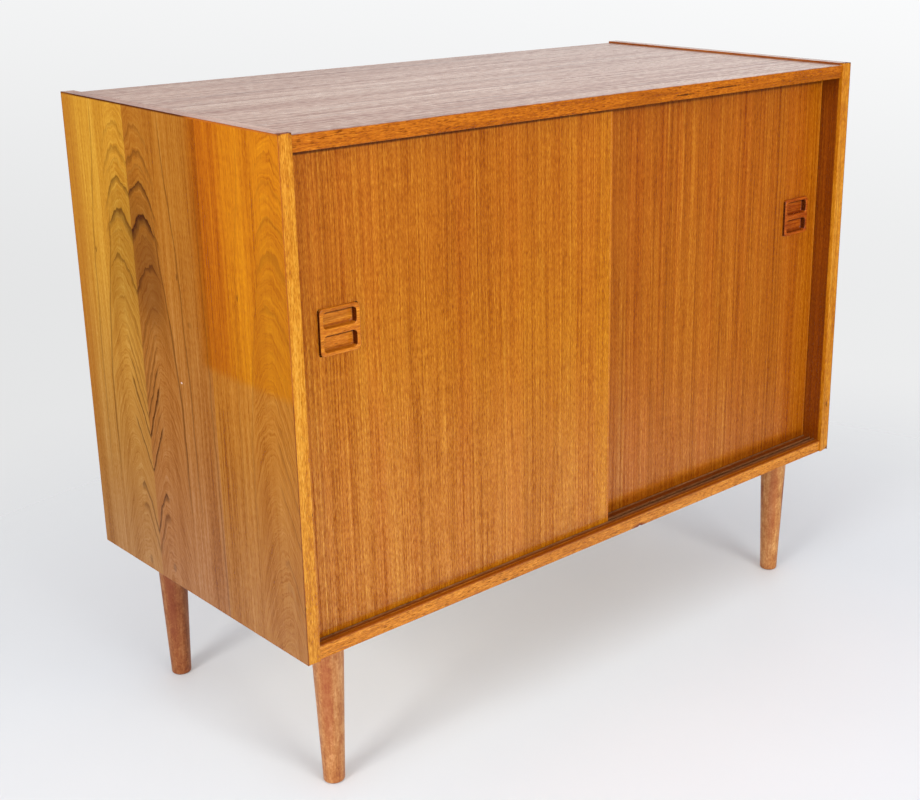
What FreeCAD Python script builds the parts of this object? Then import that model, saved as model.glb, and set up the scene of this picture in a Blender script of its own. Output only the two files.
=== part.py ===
import FreeCAD, Part
import os
import re

import Sketcher
from FreeCAD import Rotation, Vector

# Teak cabinet with two sliding doors, in millimetres.
# +X is to the right, the front faces -Y and +Z is up. The origin lies on the floor, below the
# middle of the cabinet.

# Driving dimensions

SIZES = {
    # Carcass
    "overall_width": 900,
    "overall_depth": 433,
    "side_height": 550,
    "side_thick": 16,
    "top_thick": 17,
    "bottom_thick": 16.5,
    # How far the sides stand proud of the top, and of the front of the top and bottom
    "top_reveal": 2.4,
    "front_reveal": 2.4,
    "veneer_thick": 0.6,
    "front_strip_deep": 6,
    "side_top_strip_high": 4,
    # Back panel
    "back_thick": 5,
    "rebate_wide": 8,
    "back_edge_gap": 0.5,
    # Tracks
    "track_setback": 12.2,
    "track_pitch": 17.5,
    "track_lip": 2,
    "track_floor": 1.5,
    "track_groove_deep": 4.5,
    "track_proud": 1,
    "track_end_gap": 0.5,
    "track_fit_gap": 0.1,
    # Doors
    "door_thick": 12,
    "door_overlap": 20,
    "door_side_gap": 0.4,
    "door_strip_wide": 2.5,
    "tongue_thick": 4.2,
    "tongue_side_gap": 0.4,
    "tongue_floor_gap": 0.3,
    "low_shoulder_gap": 0.6,
    "top_tongue_high": 5.5,
    "top_groove_deep": 9,
    "top_shoulder_gap": 1.5,
    # Handles
    "handle_wide": 49.5,
    "handle_thick": 9,
    "handle_proud": 3.6,
    "handle_corner": 3,
    "handle_edge_round": 1.2,
    "handle_rise": 347,
    "left_handle_inset": 27,
    "right_handle_inset": 23,
    "handle_fit_gap": 0.1,
    "pocket_wide": 40.2,
    "pocket_high": 17.6,
    "pocket_bar": 6.8,
    "pocket_deep": 6.5,
    "pocket_corner": 2.5,
    "pocket_rim_round": 0.7,
    "pocket_floor_round": 1.5,
    # Inside
    "partition_thick": 16,
    "inner_clearance": 4,
    "shelf_thick": 14,
    "shelf_setback": 12,
    "shelf_side_gap": 0.5,
    "shelf_back_gap": 2,
    "pin_thick": 5,
    "pin_hole_deep": 7,
    "pin_hole_gap": 0.1,
    "pin_reach": 9,
    "pin_pitch": 32,
    "pin_edge_inset": 45,
    "pin_seat_gap": 0.1,
    # Legs
    "leg_length": 186,
    "leg_top_wide": 37.3,
    "leg_foot_wide": 24.2,
    "leg_foot_round": 3,
    "leg_side_inset": 58.4,
    "leg_front_inset": 50.7,
    "leg_back_inset": 49.8,
    "stud_thick": 8,
    "stud_in_leg": 26,
    "stud_in_nut": 11,
    "stud_gap": 0.1,
    "stud_end_gap": 1,
    "nut_wide": 12,
    "nut_long": 12,
    "nut_gap": 0.1,
    # Dowels
    "dowel_thick": 8,
    "dowel_in_side": 10,
    "dowel_in_panel": 20,
    "dowel_in_face": 8,
    "dowel_gap": 0.1,
    "dowel_end_gap": 1,
    # Screws of the back panel
    "screw_shank": 3,
    "screw_head": 6,
    "screw_head_high": 1.8,
    "screw_long": 16,
    "screw_gap": 0.1,
    "screw_end_gap": 1,
    # How far a cutting tool runs past the face it cuts
    "overrun": 2,
}

# Places worked out from the driving dimensions

PLACES = {
    "half_width": "overall_width / 2",
    "inner_half": "overall_width / 2 - side_thick",
    "front_face": "-overall_depth / 2",
    "back_face": "overall_depth / 2",
    "panel_front": "front_face + front_reveal",
    "back_front": "back_face - back_thick",
    "carcass_low": "leg_length",
    "carcass_top": "leg_length + side_height",
    "bottom_top": "carcass_low + bottom_thick",
    "top_face": "carcass_top - top_reveal",
    "top_under": "top_face - top_thick",
    "groove_wide": "tongue_thick + 2 * tongue_side_gap",
    "track_wide": "groove_wide + 2 * track_lip",
    "track_high": "track_floor + track_groove_deep",
    "track_low": "bottom_top + track_proud - track_high",
    "front_track_face": "front_face + track_setback",
    "rear_track_face": "front_track_face + track_pitch",
    "door_offset": "track_lip + tongue_side_gap",
    "front_door_face": "front_track_face + door_offset",
    "rear_door_face": "rear_track_face + door_offset",
    "door_wide": "inner_half + door_overlap / 2 - door_side_gap",
    "door_low": "track_low + track_floor + tongue_floor_gap",
    "door_high": "top_under + top_tongue_high - door_low",
    "low_shoulder": "bottom_top + track_proud + low_shoulder_gap - door_low",
    "top_shoulder": "top_under - top_shoulder_gap - door_low",
    "handle_low": "carcass_low + handle_rise - handle_wide / 2 - door_low",
    "pocket_edge": "(handle_wide - pocket_wide) / 2",
    "pocket_low": "(handle_wide - 2 * pocket_high - pocket_bar) / 2",
    "partition_front": "rear_door_face + door_thick + inner_clearance",
    "partition_half": "partition_thick / 2",
    "shelf_front": "partition_front + shelf_setback",
    "shelf_back": "back_front - shelf_back_gap",
    "pin_middle": "(bottom_top + top_under) / 2",
    "shelf_low": "pin_middle + pin_thick / 2 + pin_seat_gap",
    "side_mid_top": "(top_under + top_face - veneer_thick) / 2",
    "side_mid_bottom": "(carcass_low + bottom_top) / 2",
    "screw_tip": "back_face - screw_long",
}

# Shares of the carcass's depth at which the side dowels sit, from its front
DOWEL_SHARES = (0.15, 0.5, 0.85)
# Shares of the partition's depth at which its dowels sit, from its front
PARTITION_DOWEL_SHARES = (0.2, 0.8)
# Shares of the width, from the middle, of the screws along the top and the bottom
SCREW_WIDTH_SHARES = (-0.36, 0, 0.36)
# Shares of the side's height, from its lower end, of the screws up each side and the partition
SCREW_HEIGHT_SHARES = (0.3, 0.7)
# Rows of holes for the shelf pins, counted from the row that the shelf rests on
PIN_ROWS = (-2, -1, 0, 1, 2)

NODE_LIMIT = 60

# Sign that puts a distance from the middle on each side of the cabinet
SIGNS = {"left": "-", "right": ""}

doc = FreeCAD.newDocument("sliding_door_cabinet")
parts = []


# Sheets and expressions

def sized(text, home=None):
    """Give each alias in a text the name of the sheet that holds it."""
    def named(match):
        word = match.group(0)
        if word in SIZES:
            return "Size." + word
        if word in PLACES and home != "Place":
            return "Place." + word
        return word
    return re.sub(r"[a-z][a-z_]*", named, text)


def fill_sheet(name, entries):
    """Write names and contents to a new sheet, each content with its name as alias."""
    sheet = doc.addObject("Spreadsheet::Sheet", name)
    for row, (alias, content) in enumerate(entries.items(), start=1):
        text = "=" + sized(content, name) if isinstance(content, str) else str(content)
        sheet.set(f"A{row}", alias)
        sheet.set(f"B{row}", text)
        sheet.setAlias(f"B{row}", alias)
    return sheet


size_sheet = fill_sheet("Size", SIZES)
place_sheet = fill_sheet("Place", PLACES)
doc.recompute()


def value(text):
    """The number that an expression gives now."""
    return float(place_sheet.evalExpression(sized(text, "Place")))


def bind(thing, prop, text):
    """Bind a property to an expression of the sheets' names."""
    thing.setExpression(prop, sized(text))


def put(thing, place):
    """Bind the three coordinates of a thing's place."""
    for axis, text in zip("xyz", place):
        bind(thing, f"Placement.Base.{axis}", text)


def keep(thing, label):
    """Name a finished piece and list it for writing."""
    thing.Label = label
    parts.append(thing)
    return thing


# Primitives and booleans

def box(name, low, high):
    """A box between two corners, each three expressions."""
    solid = doc.addObject("Part::Box", name)
    for prop, start, end in zip(("Length", "Width", "Height"), low, high):
        bind(solid, prop, f"({end}) - ({start})")
    put(solid, low)
    return solid


TURNS = {
    "x": Rotation(Vector(0, 1, 0), 90),
    "y": Rotation(Vector(1, 0, 0), -90),
    "z": Rotation(),
}


def rod(name, axis, low, radius, length):
    """A cylinder along an axis, from the centre of its lower end."""
    solid = doc.addObject("Part::Cylinder", name)
    bind(solid, "Radius", radius)
    bind(solid, "Height", length)
    solid.Placement = FreeCAD.Placement(Vector(), TURNS[axis])
    put(solid, low)
    return solid


def cone(name, axis, low, radius_low, radius_high, length):
    """A cone along an axis, from the centre of its lower end."""
    solid = doc.addObject("Part::Cone", name)
    bind(solid, "Radius1", radius_low)
    bind(solid, "Radius2", radius_high)
    bind(solid, "Height", length)
    solid.Placement = FreeCAD.Placement(Vector(), TURNS[axis])
    put(solid, low)
    return solid


def cut(name, base, tools):
    """A solid less several tools."""
    tool = doc.addObject("Part::MultiFuse", name + "_tools")
    tool.Shapes = tools
    result = doc.addObject("Part::Cut", name)
    result.Base = base
    result.Tool = tool
    return result


def group(label, solids):
    """Several separate solids of one kind in one piece."""
    compound = doc.addObject("Part::Compound", label)
    compound.Links = solids
    return keep(compound, label)


# Sketched bodies

def new_body(label):
    """A body whose label is the piece's name."""
    body = doc.addObject("PartDesign::Body", label)
    return keep(body, label)


def outline(body, role, points):
    """A closed sketch on one of the body's origin planes, each corner bound to the sheets."""
    sketch = body.newObject("Sketcher::SketchObject", body.Name + "_outline")
    plane = next(item for item in body.Origin.OriginFeatures if item.Role == role)
    sketch.AttachmentSupport = (plane, [""])
    sketch.MapMode = "FlatFace"
    corners = [Vector(value(across), value(up), 0) for across, up in points]
    for start, end in zip(corners, corners[1:] + corners[:1]):
        sketch.addGeometry(Part.LineSegment(start, end))
    for line, (across, up) in enumerate(points):
        following = (line + 1) % len(points)
        sketch.addConstraint(Sketcher.Constraint("Coincident", line, 2, following, 1))
        pin_corner(sketch, line, across, up)
    return sketch


def pin_corner(sketch, line, across, up):
    """Hold the start of a line at its two distances from the sketch's origin."""
    if across == "0" and up == "0":
        sketch.addConstraint(Sketcher.Constraint("Coincident", line, 1, -1, 1))
        return
    for kind, axis, text in (("DistanceX", -2, across), ("DistanceY", -1, up)):
        if text == "0":
            sketch.addConstraint(Sketcher.Constraint("PointOnObject", line, 1, axis))
            continue
        rule = Sketcher.Constraint(kind, -1, 1, line, 1, value(text))
        number = sketch.addConstraint(rule)
        bind(sketch, f"Constraints[{number}]", text)


def rectangle(body, role, left, low, wide, high):
    """A rectangular sketch, from its lower left corner."""
    right = f"{left} + {wide}"
    top = f"{low} + {high}"
    return outline(body, role, [(left, low), (right, low), (right, top), (left, top)])


def feature(body, kind, sketch, length, towards_plus=True):
    """A pad or pocket of a sketch; towards_plus sends it along the plane's positive axis."""
    result = body.newObject("PartDesign::" + kind, f"{body.Name}_{kind}")
    result.Profile = sketch
    bind(result, "Length", length)
    result.Reversed = not towards_plus
    doc.recompute()
    return result


def rounded(body, base, radius, chosen):
    """Round the edges of a feature that a test picks."""
    edges = enumerate(base.Shape.Edges, start=1)
    names = [f"Edge{number}" for number, edge in edges if chosen(edge)]
    fillet = body.newObject("PartDesign::Fillet", body.Name + "_round")
    fillet.Base = (base, names)
    bind(fillet, "Radius", radius)
    doc.recompute()
    return fillet


NEAR = 1e-4


def runs_along_y(edge):
    """Whether an edge is straight and runs from front to back."""
    ends = edge.BoundBox
    return ends.XLength < NEAR and ends.ZLength < NEAR


def mirrored(side, inner, outer):
    """Low and high place of a span on one side of the middle, given as distances from it."""
    if side == "left":
        return f"-({outer})", f"-({inner})"
    return inner, outer


# Side panels

def dowel_depths():
    """Places along Y of the dowels that join the sides to the top and bottom."""
    return [f"front_face + {share} * overall_depth" for share in DOWEL_SHARES]


def pin_depths():
    """Places along Y of the two columns of shelf pins."""
    return ["shelf_front + pin_edge_inset", "shelf_back - pin_edge_inset"]


def pin_heights():
    """Heights of the rows of shelf pin holes."""
    return [f"pin_middle + {row} * pin_pitch" for row in PIN_ROWS]


def screw_hole(name, across, up):
    """Pilot hole along Y for one screw of the back panel."""
    low = (across, "screw_tip - screw_end_gap", up)
    length = "screw_long + screw_end_gap + overrun"
    return rod(name, "y", low, "screw_shank / 2 + screw_gap", length)


def side_screw_heights():
    """Heights of the screws up each side and the partition."""
    return [f"carcass_low + {share} * side_height" for share in SCREW_HEIGHT_SHARES]


def side_screw_place(side):
    """Place along X of the screws up one side."""
    return f"{SIGNS[side]}(inner_half + rebate_wide / 2)"


def side_panel(side):
    """Core board, outer veneer, front strip and top strip of one side."""
    name = side + "_side"
    low, high = mirrored(side, "inner_half", "half_width - veneer_thick")
    core_front = "front_face + front_strip_deep"
    core_top = "carcass_top - side_top_strip_high"
    core = box(name + "_blank", (low, core_front, "carcass_low"), (high, "back_face", core_top))
    tools = []
    rebate_low, rebate_high = mirrored(side, "inner_half - overrun", "inner_half + rebate_wide")
    rebate = box(
        name + "_rebate",
        (rebate_low, "back_front", "bottom_top - rebate_wide"),
        (rebate_high, "back_face + overrun", "top_under + rebate_wide"),
    )
    tools.append(rebate)
    hole_radius = "dowel_thick / 2 + dowel_gap"
    inner_end = "inner_half - overrun"
    hole_low, hole_high = mirrored(side, inner_end, "inner_half + dowel_in_side + dowel_end_gap")
    for depth in dowel_depths():
        for up in ("side_mid_top", "side_mid_bottom"):
            length = f"({hole_high}) - ({hole_low})"
            tools.append(rod(name + "_dowel_hole", "x", (hole_low, depth, up), hole_radius, length))
    hole_low, hole_high = mirrored(side, inner_end, "inner_half + pin_hole_deep")
    hole_radius = "pin_thick / 2 + pin_hole_gap"
    for depth in pin_depths():
        for up in pin_heights():
            length = f"({hole_high}) - ({hole_low})"
            tools.append(rod(name + "_pin_hole", "x", (hole_low, depth, up), hole_radius, length))
    for up in side_screw_heights():
        tools.append(screw_hole(name + "_screw_hole", side_screw_place(side), up))
    keep(cut(name, core, tools), name)
    strip_low = (low, "front_face", "carcass_low")
    strip_high = (high, core_front, "carcass_top")
    keep(box(name + "_front_strip", strip_low, strip_high), name + "_front_strip")
    strip_low = (low, core_front, core_top)
    strip_high = (high, "back_face", "carcass_top")
    keep(box(name + "_top_strip", strip_low, strip_high), name + "_top_strip")
    low, high = mirrored(side, "half_width - veneer_thick", "half_width")
    veneer_low = (low, "front_face", "carcass_low")
    veneer_high = (high, "back_face", "carcass_top")
    keep(box(name + "_outer_veneer", veneer_low, veneer_high), name + "_outer_veneer")


# Top and bottom panels

def panel_dowel_holes(name, up):
    """Holes in both ends of a panel for the dowels to the sides."""
    holes = []
    for side in SIGNS:
        reach = "inner_half - dowel_in_panel - dowel_end_gap"
        low, high = mirrored(side, reach, "inner_half + overrun")
        for depth in dowel_depths():
            length = f"({high}) - ({low})"
            place = (low, depth, up)
            holes.append(rod(name, "x", place, "dowel_thick / 2 + dowel_gap", length))
    return holes


def partition_dowel_depths():
    """Places along Y of the partition's dowels."""
    core_front = "partition_front + front_strip_deep"
    span = f"(back_front - ({core_front}))"
    return [f"{core_front} + {share} * {span}" for share in PARTITION_DOWEL_SHARES]


def top_panel():
    """Core board with the door grooves, its front strip and its veneer."""
    core_front = "panel_front + front_strip_deep"
    core_top = "top_face - veneer_thick"
    low = ("-inner_half", core_front, "top_under")
    core = box("top_panel_blank", low, ("inner_half", "back_face", core_top))
    tools = []
    for face in ("front_door_face", "rear_door_face"):
        groove_low = ("-inner_half - overrun", f"{face} - tongue_side_gap", "top_under - overrun")
        groove_high = (
            "inner_half + overrun",
            f"{face} - tongue_side_gap + groove_wide",
            "top_under + top_groove_deep",
        )
        tools.append(box("top_panel_groove", groove_low, groove_high))
    rebate_low = ("-inner_half - overrun", "back_front", "top_under - overrun")
    rebate_high = ("inner_half + overrun", "back_face + overrun", "top_under + rebate_wide")
    tools.append(box("top_panel_rebate", rebate_low, rebate_high))
    tools += panel_dowel_holes("top_panel_dowel_hole", "side_mid_top")
    for depth in partition_dowel_depths():
        place = ("0", depth, "top_under - overrun")
        length = "dowel_in_face + dowel_end_gap + overrun"
        radius = "dowel_thick / 2 + dowel_gap"
        tools.append(rod("top_panel_partition_hole", "z", place, radius, length))
    for share in SCREW_WIDTH_SHARES:
        across = f"{share} * overall_width"
        tools.append(screw_hole("top_panel_screw_hole", across, "top_under + rebate_wide / 2"))
    keep(cut("top_panel", core, tools), "top_panel")
    strip_low = ("-inner_half", "panel_front", "top_under")
    strip_high = ("inner_half", core_front, core_top)
    keep(box("top_panel_front_strip", strip_low, strip_high), "top_panel_front_strip")
    veneer_low = ("-inner_half", "panel_front", core_top)
    veneer_high = ("inner_half", "back_face", "top_face")
    keep(box("top_panel_veneer", veneer_low, veneer_high), "top_panel_veneer")


LEGS = {
    "front_left": ("-(half_width - leg_side_inset)", "front_face + leg_front_inset"),
    "front_right": ("half_width - leg_side_inset", "front_face + leg_front_inset"),
    "rear_left": ("-(half_width - leg_side_inset)", "back_face - leg_back_inset"),
    "rear_right": ("half_width - leg_side_inset", "back_face - leg_back_inset"),
}


def bottom_panel():
    """Core board with the track grooves and leg holes, and its front strip."""
    core_front = "panel_front + front_strip_deep"
    low = ("-inner_half", core_front, "carcass_low")
    core = box("bottom_panel_blank", low, ("inner_half", "back_face", "bottom_top"))
    tools = []
    for face in ("front_track_face", "rear_track_face"):
        groove_low = ("-inner_half - overrun", f"{face} - track_fit_gap", "track_low")
        groove_high = (
            "inner_half + overrun",
            f"{face} + track_wide + track_fit_gap",
            "bottom_top + overrun",
        )
        tools.append(box("bottom_panel_track_groove", groove_low, groove_high))
    rebate_low = ("-inner_half - overrun", "back_front", "bottom_top - rebate_wide")
    rebate_high = ("inner_half + overrun", "back_face + overrun", "bottom_top + overrun")
    tools.append(box("bottom_panel_rebate", rebate_low, rebate_high))
    tools += panel_dowel_holes("bottom_panel_dowel_hole", "side_mid_bottom")
    for depth in partition_dowel_depths():
        place = ("0", depth, "bottom_top - dowel_in_face - dowel_end_gap")
        length = "dowel_in_face + dowel_end_gap + overrun"
        radius = "dowel_thick / 2 + dowel_gap"
        tools.append(rod("bottom_panel_partition_hole", "z", place, radius, length))
    for across, depth in LEGS.values():
        place = (across, depth, "carcass_low - overrun")
        length = "overrun + nut_long + stud_end_gap"
        tools.append(rod("bottom_panel_nut_hole", "z", place, "nut_wide / 2 + nut_gap", length))
    for share in SCREW_WIDTH_SHARES:
        across = f"{share} * overall_width"
        up = "bottom_top - rebate_wide / 2"
        tools.append(screw_hole("bottom_panel_screw_hole", across, up))
    keep(cut("bottom_panel", core, tools), "bottom_panel")
    strip_low = ("-inner_half", "panel_front", "carcass_low")
    strip_high = ("inner_half", core_front, "bottom_top")
    keep(box("bottom_panel_front_strip", strip_low, strip_high), "bottom_panel_front_strip")


# Back panel and its screws

def screw_places():
    """Places across and up of all screws of the back panel."""
    places = []
    for share in SCREW_WIDTH_SHARES:
        across = f"{share} * overall_width"
        places.append((across, "top_under + rebate_wide / 2"))
        places.append((across, "bottom_top - rebate_wide / 2"))
    for up in side_screw_heights():
        places.append((side_screw_place("left"), up))
        places.append(("0", up))
        places.append((side_screw_place("right"), up))
    return places


def back_panel():
    """Panel in the rebate, its countersunk holes and the screws."""
    edge = "inner_half + rebate_wide - back_edge_gap"
    low = (f"-({edge})", "back_front", "bottom_top - rebate_wide + back_edge_gap")
    high = (edge, "back_face", "top_under + rebate_wide - back_edge_gap")
    board = box("back_panel_blank", low, high)
    holes = []
    screws = []
    hole_radius = "screw_shank / 2 + screw_gap"
    head_start = "back_face - screw_head_high"
    for across, up in screw_places():
        holes.append(screw_hole("back_panel_screw_hole", across, up))
        place = (across, head_start, up)
        wide = "screw_head / 2 + screw_gap"
        sink = cone("back_panel_sink", "y", place, hole_radius, wide, "screw_head_high")
        holes.append(sink)
        tip = (across, "screw_tip", up)
        shank = rod("screw_shank", "y", tip, "screw_shank / 2", "screw_long - screw_head_high")
        head = cone("screw_cone", "y", place, "screw_shank / 2", "screw_head / 2", "screw_head_high")
        screw = doc.addObject("Part::Fuse", "back_screw")
        screw.Base = shank
        screw.Tool = head
        screws.append(screw)
    keep(cut("back_panel", board, holes), "back_panel")
    group("back_panel_screws", screws)


# Partition, shelves and pins

def partition():
    """Upright board in the middle, with its front strip."""
    core_front = "partition_front + front_strip_deep"
    low = ("-partition_half", core_front, "bottom_top")
    core = box("centre_partition_blank", low, ("partition_half", "back_front", "top_under"))
    tools = []
    radius = "dowel_thick / 2 + dowel_gap"
    length = "dowel_in_panel + dowel_end_gap + overrun"
    for depth in partition_dowel_depths():
        place = ("0", depth, "bottom_top - overrun")
        tools.append(rod("partition_low_hole", "z", place, radius, length))
        place = ("0", depth, "top_under - dowel_in_panel - dowel_end_gap")
        tools.append(rod("partition_top_hole", "z", place, radius, length))
    radius = "pin_thick / 2 + pin_hole_gap"
    for side in SIGNS:
        inner = "partition_half - pin_hole_deep"
        hole_low, hole_high = mirrored(side, inner, "partition_half + overrun")
        for depth in pin_depths():
            for up in pin_heights():
                length = f"({hole_high}) - ({hole_low})"
                place = (hole_low, depth, up)
                tools.append(rod("partition_pin_hole", "x", place, radius, length))
    for up in side_screw_heights():
        tools.append(screw_hole("partition_screw_hole", "0", up))
    keep(cut("centre_partition", core, tools), "centre_partition")
    strip_low = ("-partition_half", "partition_front", "bottom_top")
    strip_high = ("partition_half", core_front, "top_under")
    strip = box("centre_partition_front_strip", strip_low, strip_high)
    keep(strip, "centre_partition_front_strip")


def shelf(side):
    """Shelf of one compartment, its front strip and its four pins."""
    name = side + "_shelf"
    inner = "partition_half + shelf_side_gap"
    low, high = mirrored(side, inner, "inner_half - shelf_side_gap")
    core_front = "shelf_front + front_strip_deep"
    top = "shelf_low + shelf_thick"
    keep(box(name, (low, core_front, "shelf_low"), (high, "shelf_back", top)), name)
    strip = box(name + "_front_strip", (low, "shelf_front", "shelf_low"), (high, core_front, top))
    keep(strip, name + "_front_strip")
    in_side = mirrored(side, "inner_half - pin_reach", "inner_half + pin_hole_deep - pin_hole_gap")
    in_middle = mirrored(
        side, "partition_half - pin_hole_deep + pin_hole_gap", "partition_half + pin_reach"
    )
    pins = []
    for low, high in (in_side, in_middle):
        for depth in pin_depths():
            place = (low, depth, "pin_middle")
            pins.append(rod(name + "_pin", "x", place, "pin_thick / 2", f"({high}) - ({low})"))
    group(name + "_pins", pins)


# Dowels

def dowels():
    """Dowels between sides and panels, and between the partition and the panels."""
    solids = []
    for side in SIGNS:
        inner = "inner_half - dowel_in_panel"
        low, high = mirrored(side, inner, "inner_half + dowel_in_side")
        for depth in dowel_depths():
            for up in ("side_mid_top", "side_mid_bottom"):
                length = f"({high}) - ({low})"
                solids.append(rod("side_dowel", "x", (low, depth, up), "dowel_thick / 2", length))
    group("carcass_dowels", solids)
    solids = []
    length = "dowel_in_face + dowel_in_panel"
    for depth in partition_dowel_depths():
        for low in ("bottom_top - dowel_in_face", "top_under - dowel_in_panel"):
            solids.append(rod("upright_dowel", "z", ("0", depth, low), "dowel_thick / 2", length))
    group("partition_dowels", solids)


# Tracks

def track(label, face):
    """Brown channel with two lips, let into the bottom panel."""
    body = new_body(label)
    section = outline(body, "YZ_Plane", [
        ("0", "0"),
        ("track_wide", "0"),
        ("track_wide", "track_high"),
        ("track_wide - track_lip", "track_high"),
        ("track_wide - track_lip", "track_floor"),
        ("track_lip", "track_floor"),
        ("track_lip", "track_high"),
        ("0", "track_high"),
    ])
    feature(body, "Pad", section, "2 * (inner_half - track_end_gap)")
    put(body, ("-(inner_half - track_end_gap)", face, "track_low"))


# Doors

def door_board(label, wide):
    """Board with the doors' section: a tongue at its foot and one at its head."""
    body = new_body(label)
    section = outline(body, "YZ_Plane", [
        ("0", "0"),
        ("tongue_thick", "0"),
        ("tongue_thick", "low_shoulder"),
        ("door_thick", "low_shoulder"),
        ("door_thick", "top_shoulder"),
        ("tongue_thick", "top_shoulder"),
        ("tongue_thick", "door_high"),
        ("0", "door_high"),
    ])
    feature(body, "Pad", section, wide)
    return body


def mortise(body, across):
    """Recess in a door's face that takes the handle."""
    before = body.Shape.Volume
    wide = "handle_wide + 2 * handle_fit_gap"
    low = "handle_low - handle_fit_gap"
    sketch = rectangle(body, "XZ_Plane", across, low, wide, wide)
    deep = "handle_thick - handle_proud + handle_fit_gap"
    pocket = feature(body, "Pocket", sketch, deep)
    if pocket.Shape.Volume >= before:
        raise RuntimeError(body.Label + ": the mortise cuts nothing")
    left = value(across)
    right = value(f"{across} + {wide}")

    def corner(edge):
        middle = edge.CenterOfMass
        at_side = min(abs(middle.x - left), abs(middle.x - right)) < NEAR
        return at_side and runs_along_y(edge)

    rounded(body, pocket, "handle_corner", corner)


def door(side, face):
    """Door with its two upright edge strips, and its handle."""
    name = side + "_door"
    if side == "left":
        start = "-inner_half + door_side_gap"
        inset = "left_handle_inset"
        strips = (("outer_strip", "0"), ("meeting_strip", "door_wide - door_strip_wide"))
    else:
        start = "inner_half - door_side_gap - door_wide"
        inset = "door_wide - right_handle_inset - handle_wide"
        strips = (("meeting_strip", "0"), ("outer_strip", "door_wide - door_strip_wide"))
    board = door_board(name, "door_wide - 2 * door_strip_wide")
    mortise(board, f"{inset} - door_strip_wide - handle_fit_gap")
    put(board, (f"{start} + door_strip_wide", face, "door_low"))
    for strip, across in strips:
        edge = door_board(f"{name}_{strip}", "door_strip_wide")
        put(edge, (f"{start} + {across}", face, "door_low"))
    handle(side + "_handle", (f"{start} + {inset}", f"{face} - handle_proud", "door_low + handle_low"))


def handle(label, place):
    """Solid block with rounded edges and two finger pockets, one above the other."""
    body = new_body(label)
    square = rectangle(body, "XZ_Plane", "0", "0", "handle_wide", "handle_wide")
    block = feature(body, "Pad", square, "handle_thick", towards_plus=False)
    solid = rounded(body, block, "handle_corner", runs_along_y)

    def front_rim(edge):
        return edge.BoundBox.YMax < NEAR

    solid = rounded(body, solid, "handle_edge_round", front_rim)
    upper = "pocket_low + pocket_high + pocket_bar"
    for low in ("pocket_low", upper):
        before = solid.Shape.Volume
        sketch = rectangle(body, "XZ_Plane", "pocket_edge", low, "pocket_wide", "pocket_high")
        solid = feature(body, "Pocket", sketch, "pocket_deep")
        if solid.Shape.Volume >= before:
            raise RuntimeError(label + ": a finger pocket cuts nothing")
    deep = value("pocket_deep")

    def pocket_corner(edge):
        bounds = edge.BoundBox
        return runs_along_y(edge) and abs(bounds.YMax - deep) < NEAR

    solid = rounded(body, solid, "pocket_corner", pocket_corner)
    margin = value("handle_edge_round")

    def pocket_rim(edge):
        bounds = edge.BoundBox
        inside = bounds.XMin > margin + NEAR and bounds.XMax < value("handle_wide") - margin - NEAR
        return bounds.YMax < NEAR and inside and bounds.XMin > value("pocket_edge") - NEAR

    solid = rounded(body, solid, "pocket_rim_round", pocket_rim)

    def pocket_floor(edge):
        bounds = edge.BoundBox
        return abs(bounds.YMin - deep) < NEAR and abs(bounds.YMax - deep) < NEAR

    rounded(body, solid, "pocket_floor_round", pocket_floor)
    put(body, place)


# Legs, studs and insert nuts

def legs():
    """Turned legs, each held by a stud in an insert nut."""
    studs = []
    nuts = []
    for corner, (across, depth) in LEGS.items():
        body = new_body("leg_" + corner)
        bore = "stud_thick / 2 + stud_gap"
        bore_floor = "leg_length - stud_in_leg - stud_end_gap"
        profile = outline(body, "XZ_Plane", [
            ("0", "0"),
            ("leg_foot_wide / 2", "0"),
            ("leg_top_wide / 2", "leg_length"),
            (bore, "leg_length"),
            (bore, bore_floor),
            ("0", bore_floor),
        ])
        turned = body.newObject("PartDesign::Revolution", body.Name + "_turned")
        turned.Profile = profile
        turned.ReferenceAxis = (profile, ["V_Axis"])
        doc.recompute()

        def foot(edge):
            return edge.BoundBox.ZMax < NEAR

        rounded(body, turned, "leg_foot_round", foot)
        put(body, (across, depth, "0"))
        low = (across, depth, "carcass_low - stud_in_leg")
        studs.append(rod("stud", "z", low, "stud_thick / 2", "stud_in_leg + stud_in_nut"))
        low = (across, depth, "carcass_low")
        outer = rod("nut_outside", "z", low, "nut_wide / 2", "nut_long")
        low = (across, depth, "carcass_low - overrun")
        inner = rod("nut_bore", "z", low, bore, "nut_long + 2 * overrun")
        nut = doc.addObject("Part::Cut", "insert_nut")
        nut.Base = outer
        nut.Tool = inner
        nuts.append(nut)
    group("leg_studs", studs)
    group("leg_insert_nuts", nuts)


# Build

for side in SIGNS:
    side_panel(side)
top_panel()
bottom_panel()
back_panel()
partition()
for side in SIGNS:
    shelf(side)
dowels()
track("front_track", "front_track_face")
track("rear_track", "rear_track_face")
door("left", "front_door_face")
door("right", "rear_door_face")
legs()
doc.recompute()


# Check and write

def check():
    """Stop if an object failed or a piece is missing or broken."""
    for thing in doc.Objects:
        states = [state for state in thing.State if state in ("Invalid", "Error")]
        if states:
            raise RuntimeError(f"{thing.Label}: {states}")
    for piece in parts:
        shape = piece.Shape
        if shape.isNull() or not shape.isValid() or not shape.Solids:
            raise RuntimeError(piece.Label + ": no valid solid")
    labels = {piece.Label for piece in parts}
    if len(labels) != len(parts) or len(parts) > NODE_LIMIT:
        raise RuntimeError("Piece names repeat, or there are too many pieces")


check()
os.makedirs("parts", exist_ok=True)
for piece in parts:
    piece.Shape.exportStep(f"parts/{piece.Label}.step")
print(len(parts), "pieces,", sum(len(piece.Shape.Solids) for piece in parts), "solids")
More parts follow.
